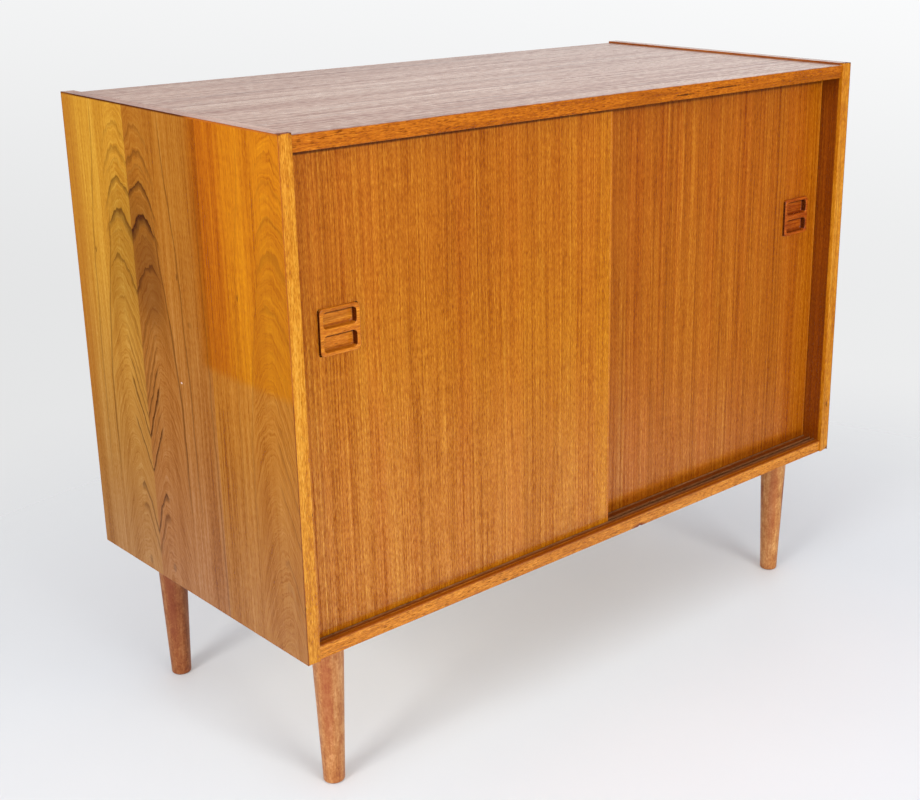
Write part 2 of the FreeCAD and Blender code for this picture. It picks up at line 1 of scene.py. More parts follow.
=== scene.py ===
"""Looks of a low teak cabinet on turned legs, with two sliding doors.

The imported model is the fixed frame. What shows an eased arris, a worn corner or a turned surface
is built here, and plain boards keep their solids and take a finish. Lengths are in metres. The
sizes of a grain and the places of its marks are in millimetres, which the names and notes say.
"""

import logging
import math
from dataclasses import dataclass, field
from enum import Enum

import bmesh
import bpy
from mathutils import Matrix, Vector, noise


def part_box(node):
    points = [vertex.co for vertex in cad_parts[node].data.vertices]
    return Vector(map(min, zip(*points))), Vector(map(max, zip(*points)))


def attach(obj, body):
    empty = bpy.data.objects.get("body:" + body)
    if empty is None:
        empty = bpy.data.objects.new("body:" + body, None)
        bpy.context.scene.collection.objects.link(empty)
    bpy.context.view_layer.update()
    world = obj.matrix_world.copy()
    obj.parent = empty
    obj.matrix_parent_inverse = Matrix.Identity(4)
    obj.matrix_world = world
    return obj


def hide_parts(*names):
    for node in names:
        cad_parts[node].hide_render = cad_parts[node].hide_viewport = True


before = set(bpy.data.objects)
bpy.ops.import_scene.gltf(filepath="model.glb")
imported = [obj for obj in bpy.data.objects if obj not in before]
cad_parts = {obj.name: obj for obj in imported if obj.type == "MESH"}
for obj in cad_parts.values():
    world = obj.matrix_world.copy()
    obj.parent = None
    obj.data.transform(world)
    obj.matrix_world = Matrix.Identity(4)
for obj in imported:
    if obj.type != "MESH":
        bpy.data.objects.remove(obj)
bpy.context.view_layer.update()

LOG = logging.getLogger("cabinet")
MM = 0.001
LEG_PLACES = ("front_left", "front_right", "rear_left", "rear_right")

Colour = tuple[float, float, float]
Socket = bpy.types.NodeSocket
Feed = Socket | float | tuple[float, ...]


def paint(red: float, green: float, blue: float) -> Colour:
    """Turn a colour as a screen shows it into the shader's own scale.

    Args:
        red: Red from 0 to 255.
        green: Green from 0 to 255.
        blue: Blue from 0 to 255.

    Returns:
        The same colour in linear light.
    """
    toe, toe_slope, offset, power = 0.04045, 12.92, 0.055, 2.4
    channels = []
    for channel in (red, green, blue):
        share = channel / 255
        curved = ((share + offset) / (1 + offset)) ** power
        channels.append(share / toe_slope if share <= toe else curved)
    return tuple(channels)


class Axis(Enum):
    """Directions of the frame that a grain or a strip runs along."""

    X = 0
    Y = 1
    Z = 2

    def point(self, first: float, second: float, along: float) -> Vector:
        """Place a point of a section at a station along this axis.

        Args:
            first: Place on the first of the other two axes.
            second: Place on the second of the other two axes.
            along: Station on this axis.

        Returns:
            The point in the frame.
        """
        places = [first, second]
        places.insert(self.value, along)
        return Vector(places)

    def across(self) -> list[int]:
        """Return the numbers of the other two axes."""
        return [number for number in range(3) if number != self.value]


class Side(Enum):
    """The two ends of the cabinet, with the sign of X there."""

    LEFT = -1
    RIGHT = 1

    def label(self) -> str:
        """Return the word that node names use."""
        return self.name.lower()


class Blend(Enum):
    """How one colour is laid over another."""

    COVER = "MIX"
    TINT = "MULTIPLY"


# Node trees

# Steps along X, Y and Z between two cuts of a wood, for a seed one higher
SEED_STEPS = (137.0, 71.0, 53.0)
# Share of a mark's half size over which it fades out, and the fineness of its ragged outline
MARK_FADE = (0.5, 1.1)
MARK_EDGE_GRAIN = 0.7


class Graph:
    """The node tree of a material or of the room, with a short call for each kind of node."""

    def __init__(self, owner: bpy.types.Material | bpy.types.World) -> None:
        """Clear the tree and start it with the coordinates.

        Args:
            owner: The material or the room.
        """
        self.owner = owner
        owner.use_nodes = True
        self.tree = owner.node_tree
        self.tree.nodes.clear()
        self.coordinates = self.add("ShaderNodeTexCoord")

    def add(self, kind: str, feeds: dict | None = None, **options: object) -> bpy.types.Node:
        """Add a node.

        Args:
            kind: Blender's name of the node's type.
            feeds: Input names or numbers with the socket or value that each takes.
            options: Settings of the node itself.

        Returns:
            The new node.
        """
        node = self.tree.nodes.new(kind)
        for option, setting in options.items():
            setattr(node, option, setting)
        for place, feed in (feeds or {}).items():
            self.feed(node.inputs[place], feed)
        return node

    def feed(self, socket: Socket, feed: Feed) -> None:
        """Link a socket into an input, or set the input's own value.

        Args:
            socket: The input.
            feed: An output socket or a plain value.
        """
        if isinstance(feed, bpy.types.NodeSocket):
            self.tree.links.new(feed, socket)
        elif socket.type == "RGBA" and len(feed) == 3:
            socket.default_value = (*feed, 1.0)
        else:
            socket.default_value = feed

    def math(self, operation: str, *feeds: Feed) -> Socket:
        """Return the result of a sum on its inputs."""
        return self.add("ShaderNodeMath", dict(enumerate(feeds)), operation=operation).outputs[0]

    def plus(self, first: Feed, second: Feed) -> Socket:
        """Return the sum of two values."""
        return self.math("ADD", first, second)

    def less(self, first: Feed, second: Feed) -> Socket:
        """Return the first value less the second."""
        return self.math("SUBTRACT", first, second)

    def times(self, first: Feed, second: Feed) -> Socket:
        """Return the product of two values."""
        return self.math("MULTIPLY", first, second)

    def vector(self, operation: str, *feeds: Feed) -> Socket:
        """Return the vector that a vector sum gives."""
        node = self.add("ShaderNodeVectorMath", dict(enumerate(feeds)), operation=operation)
        return node.outputs[0]

    def dot(self, first: Feed, second: Feed) -> Socket:
        """Return the dot product of two vectors."""
        node = self.add("ShaderNodeVectorMath", {0: first, 1: second}, operation="DOT_PRODUCT")
        return node.outputs["Value"]

    def parts(self, vector: Feed) -> tuple[Socket, Socket, Socket]:
        """Return the three parts of a vector."""
        return tuple(self.add("ShaderNodeSeparateXYZ", {0: vector}).outputs)

    def joined(self, first: Feed, second: Feed, third: Feed) -> Socket:
        """Return a vector of three values."""
        return self.add("ShaderNodeCombineXYZ", {0: first, 1: second, 2: third}).outputs[0]

    def millimetres(self, seed: float = 0.0) -> Socket:
        """Return places on the piece in millimetres; each seed gives another cut of the wood."""
        scaled = self.zoomed(self.coordinates.outputs["Object"], 1 / MM)
        return self.vector("ADD", scaled, tuple(seed * step for step in SEED_STEPS))

    def noise(self, place: Feed, detail: float = 2.0, roughness: float = 0.5) -> Socket:
        """Return soft noise about one half, with features one unit of the place wide."""
        feeds = {"Vector": place, "Scale": 1.0, "Detail": detail, "Roughness": roughness}
        return self.add("ShaderNodeTexNoise", feeds).outputs[0]

    def zoomed(self, place: Feed, scale: float) -> Socket:
        """Return a place scaled by the same number in all directions."""
        return self.vector("MULTIPLY", place, (scale,) * 3)

    def inverse(self, value: Feed) -> Socket:
        """Return one less a value."""
        return self.less(1.0, value)

    def stretched(self, place: Feed, grain: Axis, across: float, along: float) -> Socket:
        """Return a place measured in streaks.

        Args:
            place: Place in millimetres.
            grain: Direction of the grain.
            across: Width of a streak in millimetres.
            along: Length of a streak in millimetres.

        Returns:
            The scaled place.
        """
        scales = [1 / across] * 3
        scales[grain.value] = 1 / along
        return self.vector("MULTIPLY", place, tuple(scales))

    def rise(self, value: Feed, low: float, high: float, start: float = 0.0,
             end: float = 1.0) -> Socket:
        """Return a soft step between two levels.

        Args:
            value: The value that it follows.
            low: Value at which it begins.
            high: Value at which it ends.
            start: Its level up to there.
            end: Its level from there.

        Returns:
            The level.
        """
        feeds = {"Value": value, "From Min": low, "From Max": high, "To Min": start, "To Max": end}
        return self.add("ShaderNodeMapRange", feeds, interpolation_type="SMOOTHSTEP").outputs[0]

    def scaled(self, value: Feed, low: float, high: float) -> Socket:
        """Return a value from 0 to 1 spread between low and high."""
        return self.math("MULTIPLY_ADD", value, high - low, low)

    def ramp(self, value: Feed, stops: list[tuple[float, Colour | float]]) -> Socket:
        """Return a colour or a grey read from a ramp.

        Args:
            value: Place on the ramp, from 0 to 1.
            stops: Each stop's place and its colour, or its grey as one number.

        Returns:
            The colour at that place.
        """
        node = self.add("ShaderNodeValToRGB", {0: value})
        elements = node.color_ramp.elements
        while len(elements) < len(stops):
            elements.new(1.0)
        for element, (place, colour) in zip(elements, stops):
            element.position = place
            shade = colour if isinstance(colour, tuple) else (colour,) * 3
            element.color = (*shade, 1.0)
        return node.outputs[0]

    def curve(self, value: Feed, points: list[tuple[float, float]]) -> Socket:
        """Return a value read from a smooth curve.

        Args:
            value: Place along the curve, from 0 to 1.
            points: Places and heights that the curve runs through, all from 0 to 1.

        Returns:
            The height of the curve there.
        """
        node = self.add("ShaderNodeFloatCurve", {"Value": value})
        drawn = node.mapping.curves[0].points
        drawn[0].location, drawn[1].location = points[0], points[-1]
        for place, height in points[1:-1]:
            drawn.new(place, height)
        node.mapping.update()
        return node.outputs[0]

    def mix(self, share: Feed, first: Feed, second: Feed, blend: Blend = Blend.COVER) -> Socket:
        """Return a colour between two colours.

        Args:
            share: How much of the second colour shows.
            first: The colour below.
            second: The colour laid over it.
            blend: The way it is laid over.

        Returns:
            The mixed colour.
        """
        feeds = {0: share, 6: first, 7: second}
        node = self.add("ShaderNodeMix", feeds, data_type="RGBA", blend_type=blend.value)
        return node.outputs[2]

    def bump(self, height: Feed, depth: float) -> Socket:
        """Return a normal that follows heights from 0 to 1, with a real depth in metres."""
        return self.add("ShaderNodeBump", {"Height": height, "Distance": depth}).outputs[0]

    def arris(self, radius: float) -> Socket:
        """Return how near an edge of the piece is, from 0 to about 0.3 on its outer edges.

        Args:
            radius: How far from the edge it reaches, in metres.

        Returns:
            The nearness.
        """
        soft = self.add("ShaderNodeBevel", {"Radius": radius}, samples=4).outputs[0]
        plain = self.add("ShaderNodeNewGeometry").outputs["True Normal"]
        return self.inverse(self.dot(soft, plain))

    def facing(self, axis: Axis) -> Socket:
        """Return how squarely a face looks along an axis, from 0 to 1."""
        return self.math("ABSOLUTE", self.parts(self.coordinates.outputs["Normal"])[axis.value])

    def blot(self, mark: "Mark") -> Socket:
        """Return how much of a mark shows, from 0 to its strength.

        Args:
            mark: The mark.

        Returns:
            Its share over the wood.
        """
        place = self.millimetres()
        away = self.vector("DIVIDE", self.vector("SUBTRACT", place, mark.place), mark.half)
        far = self.add("ShaderNodeVectorMath", {0: away}, operation="LENGTH").outputs["Value"]
        speck = self.noise(self.zoomed(place, MARK_EDGE_GRAIN))
        far = self.plus(far, self.scaled(speck, -mark.ragged, mark.ragged))
        return self.times(self.inverse(self.rise(far, *MARK_FADE)), mark.strength)

    def surface(self, colour: Feed, roughness: Feed, normal: Socket | None = None,
                **plain: Feed) -> bpy.types.Material:
        """Close the tree with a surface shader.

        Args:
            colour: Base colour.
            roughness: Roughness.
            normal: Bent normal, if the finish has one.
            plain: Other inputs by name, with underscores for spaces.

        Returns:
            The finished material.
        """
        feeds = {"Base Color": colour, "Roughness": roughness}
        if normal is not None:
            feeds["Normal"] = normal
        shader = self.add("ShaderNodeBsdfPrincipled", feeds)
        for name, value in plain.items():
            self.feed(shader.inputs[name.replace("_", " ")], value)
        self.add("ShaderNodeOutputMaterial", {"Surface": shader.outputs[0]})
        return self.owner


# Finishes: every length in a wood, its figure and its marks is in millimetres


@dataclass(frozen=True)
class Streaks:
    """One layer of streaks in a wood.

    Attributes:
        across: Width of a streak.
        along: Length of a streak.
        weight: How far the layer shifts the tone.
        detail: Finer steps inside the layer.
    """

    across: float
    along: float
    weight: float
    detail: float = 2.0


FINE_STREAKS = (
    Streaks(30, 1600, 0.25, 1.0), Streaks(9, 900, 0.22), Streaks(3.8, 900, 0.3),
    Streaks(1.8, 500, 0.8), Streaks(1.1, 5, 0.9), Streaks(45, 14, 0.12),
)
REAR_DOOR_STREAKS = (
    Streaks(30, 1600, 0.25, 1.0), Streaks(9, 900, 0.25), Streaks(4.2, 900, 0.5),
    Streaks(1.8, 500, 0.75), Streaks(1.1, 5, 0.75), Streaks(45, 14, 0.1),
)
STRIP_STREAKS = (
    Streaks(14, 300, 0.45, 1.0), Streaks(4, 90, 0.4), Streaks(1.4, 24, 0.6),
    Streaks(1.2, 5, 0.8), Streaks(12, 9, 0.3),
)
TOP_STREAKS = (
    Streaks(34, 1500, 0.35, 1.0), Streaks(11, 900, 0.4), Streaks(5, 600, 0.65),
    Streaks(2.2, 260, 0.9), Streaks(3.0, 12, 1.0),
)
SIDE_STREAKS = (
    Streaks(20, 900, 0.45, 1.0), Streaks(7, 400, 0.35), Streaks(2.4, 160, 0.5),
    Streaks(1.2, 60, 0.35), Streaks(1.2, 5, 0.5), Streaks(70, 7, 0.1),
)
LEG_STREAKS = (
    Streaks(12, 120, 0.3, 1.5), Streaks(4.5, 70, 0.5), Streaks(2.5, 3.5, 0.6),
    Streaks(1.4, 30, 0.4), Streaks(9, 13, 0.6),
)
HANDLE_STREAKS = (Streaks(5, 90, 0.5), Streaks(1.8, 40, 0.6), Streaks(1.1, 5, 0.6))


@dataclass(frozen=True)
class Mark:
    """A small stain, fleck or line in a finish, or a patch or line of painted light or shade.

    Attributes:
        place: Its middle in the frame.
        half: How far it reaches along X, Y and Z.
        strength: How much it covers, from 0 to 1.
        colour: Its colour.
        ragged: How uneven its outline is.
        blend: Whether it covers the wood or tints it.
    """

    place: tuple[float, float, float]
    half: tuple[float, float, float]
    strength: float
    colour: Colour = paint(58, 22, 6)
    ragged: float = 0.3
    blend: Blend = Blend.COVER


def tint(place: tuple[float, float, float], half: tuple[float, float, float], strength: float,
         colour: Colour, ragged: float = 0.1) -> Mark:
    """Return a mark that multiplies the wood's colour and leaves its grain to show."""
    return Mark(place, half, strength, colour, ragged, Blend.TINT)


# What every wood shares: how squarely a face looks along the grain where it is end grain, how
# much rougher and duller that is, and the fineness of its specks
END_FACING = (0.6, 0.9)
END_ROUGHER = 0.3
END_GLOSS = 0.15
END_SPECKLE = 0.8
END_SPECKLE_RISE = (0.35, 0.65)
# Where an arris has worn: its reach in metres, and the fineness and the levels of its patches
WEAR_REACH = 0.9 * MM
WEAR_RISE = (0.03, 0.25)
WEAR_PATCHES = 0.06
WEAR_PATCH_RISE = (0.3, 0.6)
# How deep a pore lies in the relief, how much gloss it keeps, and the relief's depth in metres
PORE_SINK = 0.25
PORE_GLOSS = 0.4
RELIEF = 0.03 * MM


@dataclass(frozen=True)
class Wood:
    """A clear-finished wood with a straight grain.

    Attributes:
        name: Name of the finish.
        grain: Direction of the grain.
        tones: Colours from the darkest streak to the lightest.
        pore: Colour of the open pores.
        end: Colour of the end grain.
        arris: Colour that an eased edge has worn to.
        seed: Number that picks the cut.
        layers: The streaks, broad ones first.
        pores: How many of the pores show, from 0 to 1.
        lines: How strongly thin dark growth lines show.
        wander: How far the streaks wander.
        roughness: Lowest and highest roughness.
        level: Strength of the gloss.
        wear: How much the arris colour shows.
        blush: How strongly redder bands show.
        sheen: How far the gloss follows the streaks.
        marks: Stains and lines, and patches of painted light and shade, at their own places.
        beneath: Colours of the face that looks down, if it was left raw.
        bends: Width and length of the bends that the streaks follow.
        tone_range: Tones at which the darkest and the lightest colour are reached.
        pore_size: Width and length of a pore.
        pore_rise: Noise levels between which a pore darkens, where no pores are asked for.
        pore_reach: How far those levels fall when all the pores are asked for.
        line_size: Distance between growth lines and their length.
        line_rise: How far from its middle, in noise levels, a growth line begins and ends to fade.
        band_size: Width and length of a redder band.
        band_rise: Noise levels between which a band begins.
        redder: Tint of a band.
        under_rise: How squarely a face has to look down to be raw.
    """

    name: str
    grain: Axis
    tones: tuple[Colour, ...]
    pore: Colour
    end: Colour
    arris: Colour
    seed: float
    layers: tuple[Streaks, ...] = FINE_STREAKS
    pores: float = 0.5
    lines: float = 0.25
    wander: float = 3.0
    roughness: tuple[float, float] = (0.2, 0.3)
    level: float = 0.5
    wear: float = 0.6
    blush: float = 0.3
    sheen: float = 0.0
    marks: tuple[Mark, ...] = ()
    beneath: tuple[Colour, ...] = ()
    bends: tuple[float, float] = (60.0, 260.0)
    tone_range: tuple[float, float] = (0.22, 0.78)
    pore_size: tuple[float, float] = (0.8, 8.0)
    pore_rise: tuple[float, float] = (0.68, 0.78)
    pore_reach: float = 0.12
    line_size: tuple[float, float] = (26.0, 900.0)
    line_rise: tuple[float, float] = (0.002, 0.02)
    band_size: tuple[float, float] = (22.0, 2000.0)
    band_rise: tuple[float, float] = (0.44, 0.6)
    redder: Colour = (1.0, 0.84, 0.7)
    under_rise: tuple[float, float] = (0.5, 0.8)

    def place(self, graph: Graph) -> Socket:
        """Return the place in the wood, with streaks that wander a little.

        Args:
            graph: The material's tree.

        Returns:
            The place.
        """
        place = graph.millimetres(self.seed)
        bend = graph.noise(graph.stretched(place, self.grain, *self.bends), detail=1.0)
        shift = graph.scaled(bend, -self.wander, self.wander)
        moved = [0.0, 0.0, 0.0]
        for number in self.grain.across():
            moved[number] = shift
        return graph.vector("ADD", place, graph.joined(*moved))

    def tone(self, graph: Graph, place: Socket) -> Socket:
        """Return the tone of the streaks.

        Args:
            graph: The material's tree.
            place: Place in the wood.

        Returns:
            The tone, about one half.
        """
        tone = 0.5
        for layer in self.layers:
            streaked = graph.stretched(place, self.grain, layer.across, layer.along)
            streak = graph.noise(streaked, layer.detail)
            centred = graph.less(streak, 0.5)
            tone = graph.math("MULTIPLY_ADD", centred, layer.weight, tone)
        return tone

    def colour_stops(self, tones: tuple[Colour, ...]) -> list[tuple[float, Colour]]:
        """Spread tones evenly along the middle of a ramp.

        Args:
            tones: Colours from the darkest to the lightest.

        Returns:
            Each colour's place on the ramp, and the colour.
        """
        low, high = self.tone_range
        step = (high - low) / (len(tones) - 1)
        return [(low + step * number, tone) for number, tone in enumerate(tones)]

    def pore_mask(self, graph: Graph, place: Socket) -> Socket:
        """Return where the short dark pores lie.

        Args:
            graph: The material's tree.
            place: Place in the wood.

        Returns:
            The pores' share, from 0 to 1.
        """
        speck = graph.noise(graph.stretched(place, self.grain, *self.pore_size), detail=1.0)
        begun, full = (level - self.pore_reach * self.pores for level in self.pore_rise)
        return graph.rise(speck, begun, full)

    def line_mask(self, graph: Graph, place: Socket) -> Socket:
        """Return where the thin dark growth lines lie.

        Args:
            graph: The material's tree.
            place: Place in the wood.

        Returns:
            The lines' share, from 0 to 1.
        """
        growth = graph.noise(graph.stretched(place, self.grain, *self.line_size), detail=1.5)
        gap = graph.math("ABSOLUTE", graph.less(growth, 0.5))
        return graph.inverse(graph.rise(gap, *self.line_rise))

    def end_grain(self, graph: Graph, place: Socket) -> Socket:
        """Return the speckled colour of the end grain."""
        speckle = graph.noise(graph.zoomed(place, END_SPECKLE), detail=3.0)
        return graph.mix(graph.rise(speckle, *END_SPECKLE_RISE), self.end, self.pore)

    def worn(self, graph: Graph, place: Socket) -> Socket:
        """Return where the arrises have worn, in patches, from 0 to 1."""
        patchy = graph.rise(graph.noise(graph.zoomed(place, WEAR_PATCHES)), *WEAR_PATCH_RISE)
        return graph.times(graph.rise(graph.arris(WEAR_REACH), *WEAR_RISE), patchy)

    def dressed(self, graph: Graph, colour: Socket, place: Socket,
                tone: Socket) -> bpy.types.Material:
        """Add pores, end grain and worn arrises to a colour, and close the tree.

        Args:
            graph: The material's tree.
            colour: Colour of the streaks.
            place: Place in the wood.
            tone: Tone of the streaks.

        Returns:
            The finished material.
        """
        pores = self.pore_mask(graph, place)
        colour = graph.mix(graph.times(pores, self.pores), colour, self.pore)
        ends = graph.rise(graph.facing(self.grain), *END_FACING)
        colour = graph.mix(ends, colour, self.end_grain(graph, place))
        worn = graph.times(self.worn(graph, place), self.wear)
        colour = graph.mix(worn, colour, self.arris)
        for mark in self.marks:
            colour = graph.mix(graph.blot(mark), colour, mark.colour, mark.blend)
        rough = graph.scaled(tone, self.roughness[1], self.roughness[0])
        rough = graph.math("MULTIPLY_ADD", ends, END_ROUGHER, rough)
        height = graph.math("MULTIPLY_ADD", pores, -PORE_SINK, tone)
        level = graph.scaled(ends, self.level, self.level * END_GLOSS)
        level = graph.times(level, graph.scaled(pores, 1.0, PORE_GLOSS))
        if self.sheen:
            follows = graph.scaled(tone, 1 - self.sheen, 1 + self.sheen)
            level = graph.times(level, follows)
        return graph.surface(colour, rough, graph.bump(height, RELIEF), Specular_IOR_Level=level)

    def material(self) -> bpy.types.Material:
        """Make the finish.

        Returns:
            The finished material.
        """
        graph = Graph(bpy.data.materials.new(self.name))
        place = self.place(graph)
        tone = self.tone(graph, place)
        colour = graph.ramp(tone, self.colour_stops(self.tones))
        broad = graph.noise(graph.stretched(place, self.grain, *self.band_size), detail=1.0)
        band = graph.rise(broad, *self.band_rise)
        redder = graph.mix(1.0, colour, self.redder, Blend.TINT)
        colour = graph.mix(graph.times(band, self.blush), colour, redder)
        lined = graph.times(self.line_mask(graph, place), self.lines)
        colour = graph.mix(lined, colour, self.pore)
        if self.beneath:
            up = graph.parts(graph.coordinates.outputs["Normal"])[2]
            raw = graph.ramp(tone, self.colour_stops(self.beneath))
            under = graph.rise(graph.times(up, -1.0), *self.under_rise)
            colour = graph.mix(under, colour, raw)
        return self.dressed(graph, colour, place, tone)


@dataclass(frozen=True)
class Ring:
    """A growth ring of the side's figure.

    Attributes:
        height: How far below the top edge its crest lies.
        strength: How dark it is, from 0 to 1.
        fade: How far it fades out below its dark line.
    """

    height: float
    strength: float
    fade: float = 7.0


UPPER_RINGS = (
    Ring(20, 0.25), Ring(47, 0.45, 9), Ring(62, 0.25), Ring(82, 0.8, 12), Ring(98, 0.35),
    Ring(116, 1.0, 20), Ring(139, 0.5), Ring(152, 0.35), Ring(170, 0.85, 9), Ring(187, 0.35),
)
LOWER_RINGS = (
    Ring(217, 0.5), Ring(234, 0.35), Ring(250, 0.35), Ring(264, 0.5), Ring(281, 0.75),
    Ring(305, 1.0, 10), Ring(330, 0.35), Ring(355, 0.9, 9), Ring(440, 0.85, 9), Ring(466, 0.45, 14),
)


@dataclass(frozen=True)
class Flank:
    """A dark line that runs down beside the figure.

    Attributes:
        points: Distances down from the top and out from the joint.
        width: Half its width.
        strength: How dark it is, from 0 to 1.
        first: Distance down at which it begins.
        last: Distance down at which it ends.
    """

    points: tuple[tuple[float, float], ...]
    width: float
    strength: float
    first: float
    last: float


# Lines drawn down a leaf, as distances down from the top and out from the joint, in millimetres
FIGURE_EDGE = (
    (0, 40), (145, 51), (200, 61), (250, 70), (300, 76), (380, 80), (450, 81), (550, 82),
)
CREST_LINE = (
    (0, 18), (50, 21), (120, 22), (170, 31), (250, 33), (330, 36), (400, 30), (440, 25), (550, 25),
)
FLANKS = (
    Flank(FIGURE_EDGE, 1.2, 0.6, 120, 430),
    Flank(((0, 74), (45, 77), (90, 82), (145, 90), (250, 97), (550, 104)), 0.9, 0.5, 15, 420),
    Flank(((0, 136), (550, 146)), 1.0, 0.35, 60, 600),
)
# Tone across a leaf, in hundredths of its width (150 mm) and of the full tone
LEAF_WIDE = 150
LEAF_TONES = (
    (0, 75), (20, 78), (45, 75), (60, 70), (74, 81), (92, 83), (104, 78), (114, 70), (128, 67),
    (140, 71), (150, 75),
)


@dataclass(frozen=True)
class FiguredVeneer(Wood):
    """The book-matched veneer of a side, with arches down the middle of each leaf.

    Attributes:
        back: Place of the side's back edge along Y.
        top: Height of the side's top edge.
        joint: Distance of the first joint from the back edge.
        leaf: Width of a leaf.
        tall: Height of the side.
        leaf_tops: Tint of each leaf at the top, back one first.
        leaf_feet: Tint of each leaf at the lower edge: painted shade that darkens it downwards,
            with a greyer cast that stands in for the floor's reflection.
        leaf_figure: How strongly the figure shows in each leaf.
        unfaded: Tint of the patch that the light has not bleached.
        unfaded_edge: Colour of the upper edge over that patch.
        patch_back: Distance of that patch's rear edge from the back.
        patch_low: Distance of its lower edge from the top.
        patch_share: How strongly that patch shows.
        patch_side: How far its rear edge fades to the back and to the front.
        patch_foot: How far its lower edge fades up and down.
        front_band: Distances from a joint between which a leaf's outer band turns redder.
        front_tint: Share of the unfaded red and green that this band keeps, and its blue.
        brown_begins: Distances down between which the figure's brown ground begins.
        brown_ends: Distances down between which it ends.
        rubbed: Distances down between which the top edge is rubbed dark.
    """

    back: float = 216.5
    top: float = 736.0
    joint: float = 137.5
    leaf: float = 147.5
    tall: float = 550.0
    leaf_tops: tuple[Colour, ...] = ((1, 1, 1), (0.71, 0.55, 0.6), (0.9, 0.7, 0.66))
    leaf_feet: tuple[Colour, ...] = ((0.66, 0.63, 2.2), (0.62, 0.52, 1.9), (0.64, 0.52, 1.0))
    leaf_figure: tuple[float, ...] = (0.9, 1.2, 0.38)
    unfaded: Colour = (1.09, 0.97, 0.03)
    unfaded_edge: Colour = paint(176, 96, 24)
    patch_back: float = 270.0
    patch_low: float = 262.0
    patch_share: float = 1.0
    patch_side: tuple[float, float] = (14.0, 12.0)
    patch_foot: tuple[float, float] = (7.0, 7.0)
    front_band: tuple[float, float] = (98.0, 116.0)
    front_tint: Colour = (0.84, 0.7, 0.02)
    brown_begins: tuple[float, float] = (50.0, 125.0)
    brown_ends: tuple[float, float] = (190.0, 300.0)
    rubbed: tuple[float, float] = (0.8, 2.6)

    def material(self) -> bpy.types.Material:
        """Make the finish.

        Returns:
            The finished material.
        """
        leaf_step, seed_out, seed_down, sway_size = 1.5, 97, 31, (28, 45)
        edge_fade, foot_shade_span, deepest, rim_facing = (-10, 3), (60, 560), 0.9, (0.3, 0.7)
        graph = Graph(bpy.data.materials.new(self.name))
        _, y, z = graph.parts(graph.millimetres())
        from_back = graph.less(self.back, y)
        down = graph.less(self.top, z)
        out = graph.math("PINGPONG", graph.less(from_back, self.joint), self.leaf)
        second, third = (self.past(graph, from_back, joint)
                         for joint in (self.joint, self.joint + self.leaf))

        def by_leaf(values: tuple) -> Socket:
            """Return the value of the leaf."""
            return graph.mix(third, graph.mix(second, values[0], values[1]), values[2])

        place = graph.joined(
            graph.plus(out, self.seed * seed_out),
            graph.times(graph.plus(second, third), leaf_step),
            graph.plus(down, self.seed * seed_down),
        )
        sway = graph.noise(graph.stretched(place, Axis.Z, *sway_size), detail=1.5)
        crest = self.crest_height(graph, out, down, place, sway)
        past_edge = graph.less(out, self.drawn(graph, FIGURE_EDGE, down))
        inside = graph.inverse(graph.rise(past_edge, *edge_fade))
        tone = self.leaf_tone(graph, place, crest, out, inside, third)
        colour = graph.ramp(tone, self.colour_stops(self.tones))
        # Painted shade: each leaf blends from its top tint to a darker, greyer tint at its foot
        foot_shade = graph.rise(down, *foot_shade_span)
        leaf_tint = graph.mix(foot_shade, by_leaf(self.leaf_tops), by_leaf(self.leaf_feet))
        colour = graph.mix(1.0, colour, leaf_tint, Blend.TINT)
        patch = self.patch(graph, from_back, down)
        deep = graph.times(graph.rise(out, *self.front_band), deepest)
        red, green, blue = self.front_tint
        deeper = (self.unfaded[0] * red, self.unfaded[1] * green, blue)
        fresh = graph.mix(deep, self.unfaded, deeper)
        colour = graph.mix(patch, colour, graph.mix(1.0, colour, fresh, Blend.TINT))
        shown = self.brown(graph, self.figure(graph, crest, out, down, sway), down, inside)
        strengths = tuple((share,) * 3 for share in self.leaf_figure)
        shown = graph.times(shown, by_leaf(strengths))
        colour = graph.mix(shown, colour, self.pore)
        edge = graph.inverse(graph.rise(graph.facing(Axis.X), *rim_facing))
        rubbed = graph.inverse(graph.rise(down, *self.rubbed))
        rim = graph.mix(patch, self.end, self.unfaded_edge)
        colour = graph.mix(graph.math("MAXIMUM", edge, rubbed), colour, rim)
        return self.dressed(graph, colour, place, tone)

    def past(self, graph: Graph, from_back: Socket, joint: float) -> Socket:
        """Return 0 behind a joint of two leaves and 1 in front of it."""
        blur = 0.3
        return graph.rise(from_back, joint - blur, joint + blur)

    def leaf_tone(self, graph: Graph, place: Socket, crest: Socket, out: Socket, inside: Socket,
                  third: Socket) -> Socket:
        """Return the tone of a leaf: its streaks, the ripples of its arches and its broad bands.

        Args:
            graph: The material's tree.
            place: Place in the veneer.
            crest: Height of the arch through the place.
            out: Distance from the joint at the arches.
            inside: How far the place lies inside the arches, from 0 to 1.
            third: 1 on the leaf at the front, which has ripples of its own.

        Returns:
            The tone, about one half.
        """
        ripple_high, ripple_wide, ripple_weight = 3.4, 45, 0.7
        streaks_inside = 0.4
        rippling = graph.joined(graph.math("DIVIDE", crest, ripple_high),
                                graph.math("DIVIDE", out, ripple_wide), third)
        ripple = graph.noise(rippling)
        straight = graph.less(self.tone(graph, place), 0.5)
        tone = graph.math("MULTIPLY_ADD", straight, graph.scaled(inside, 1.0, streaks_inside), 0.5)
        rippled = graph.times(graph.less(ripple, 0.5), inside)
        tone = graph.math("MULTIPLY_ADD", rippled, ripple_weight, tone)
        shares = [(across / LEAF_WIDE, height / LEAF_WIDE) for across, height in LEAF_TONES]
        level = graph.curve(graph.math("DIVIDE", out, LEAF_WIDE), shares)
        return graph.plus(tone, graph.less(level, 0.5))

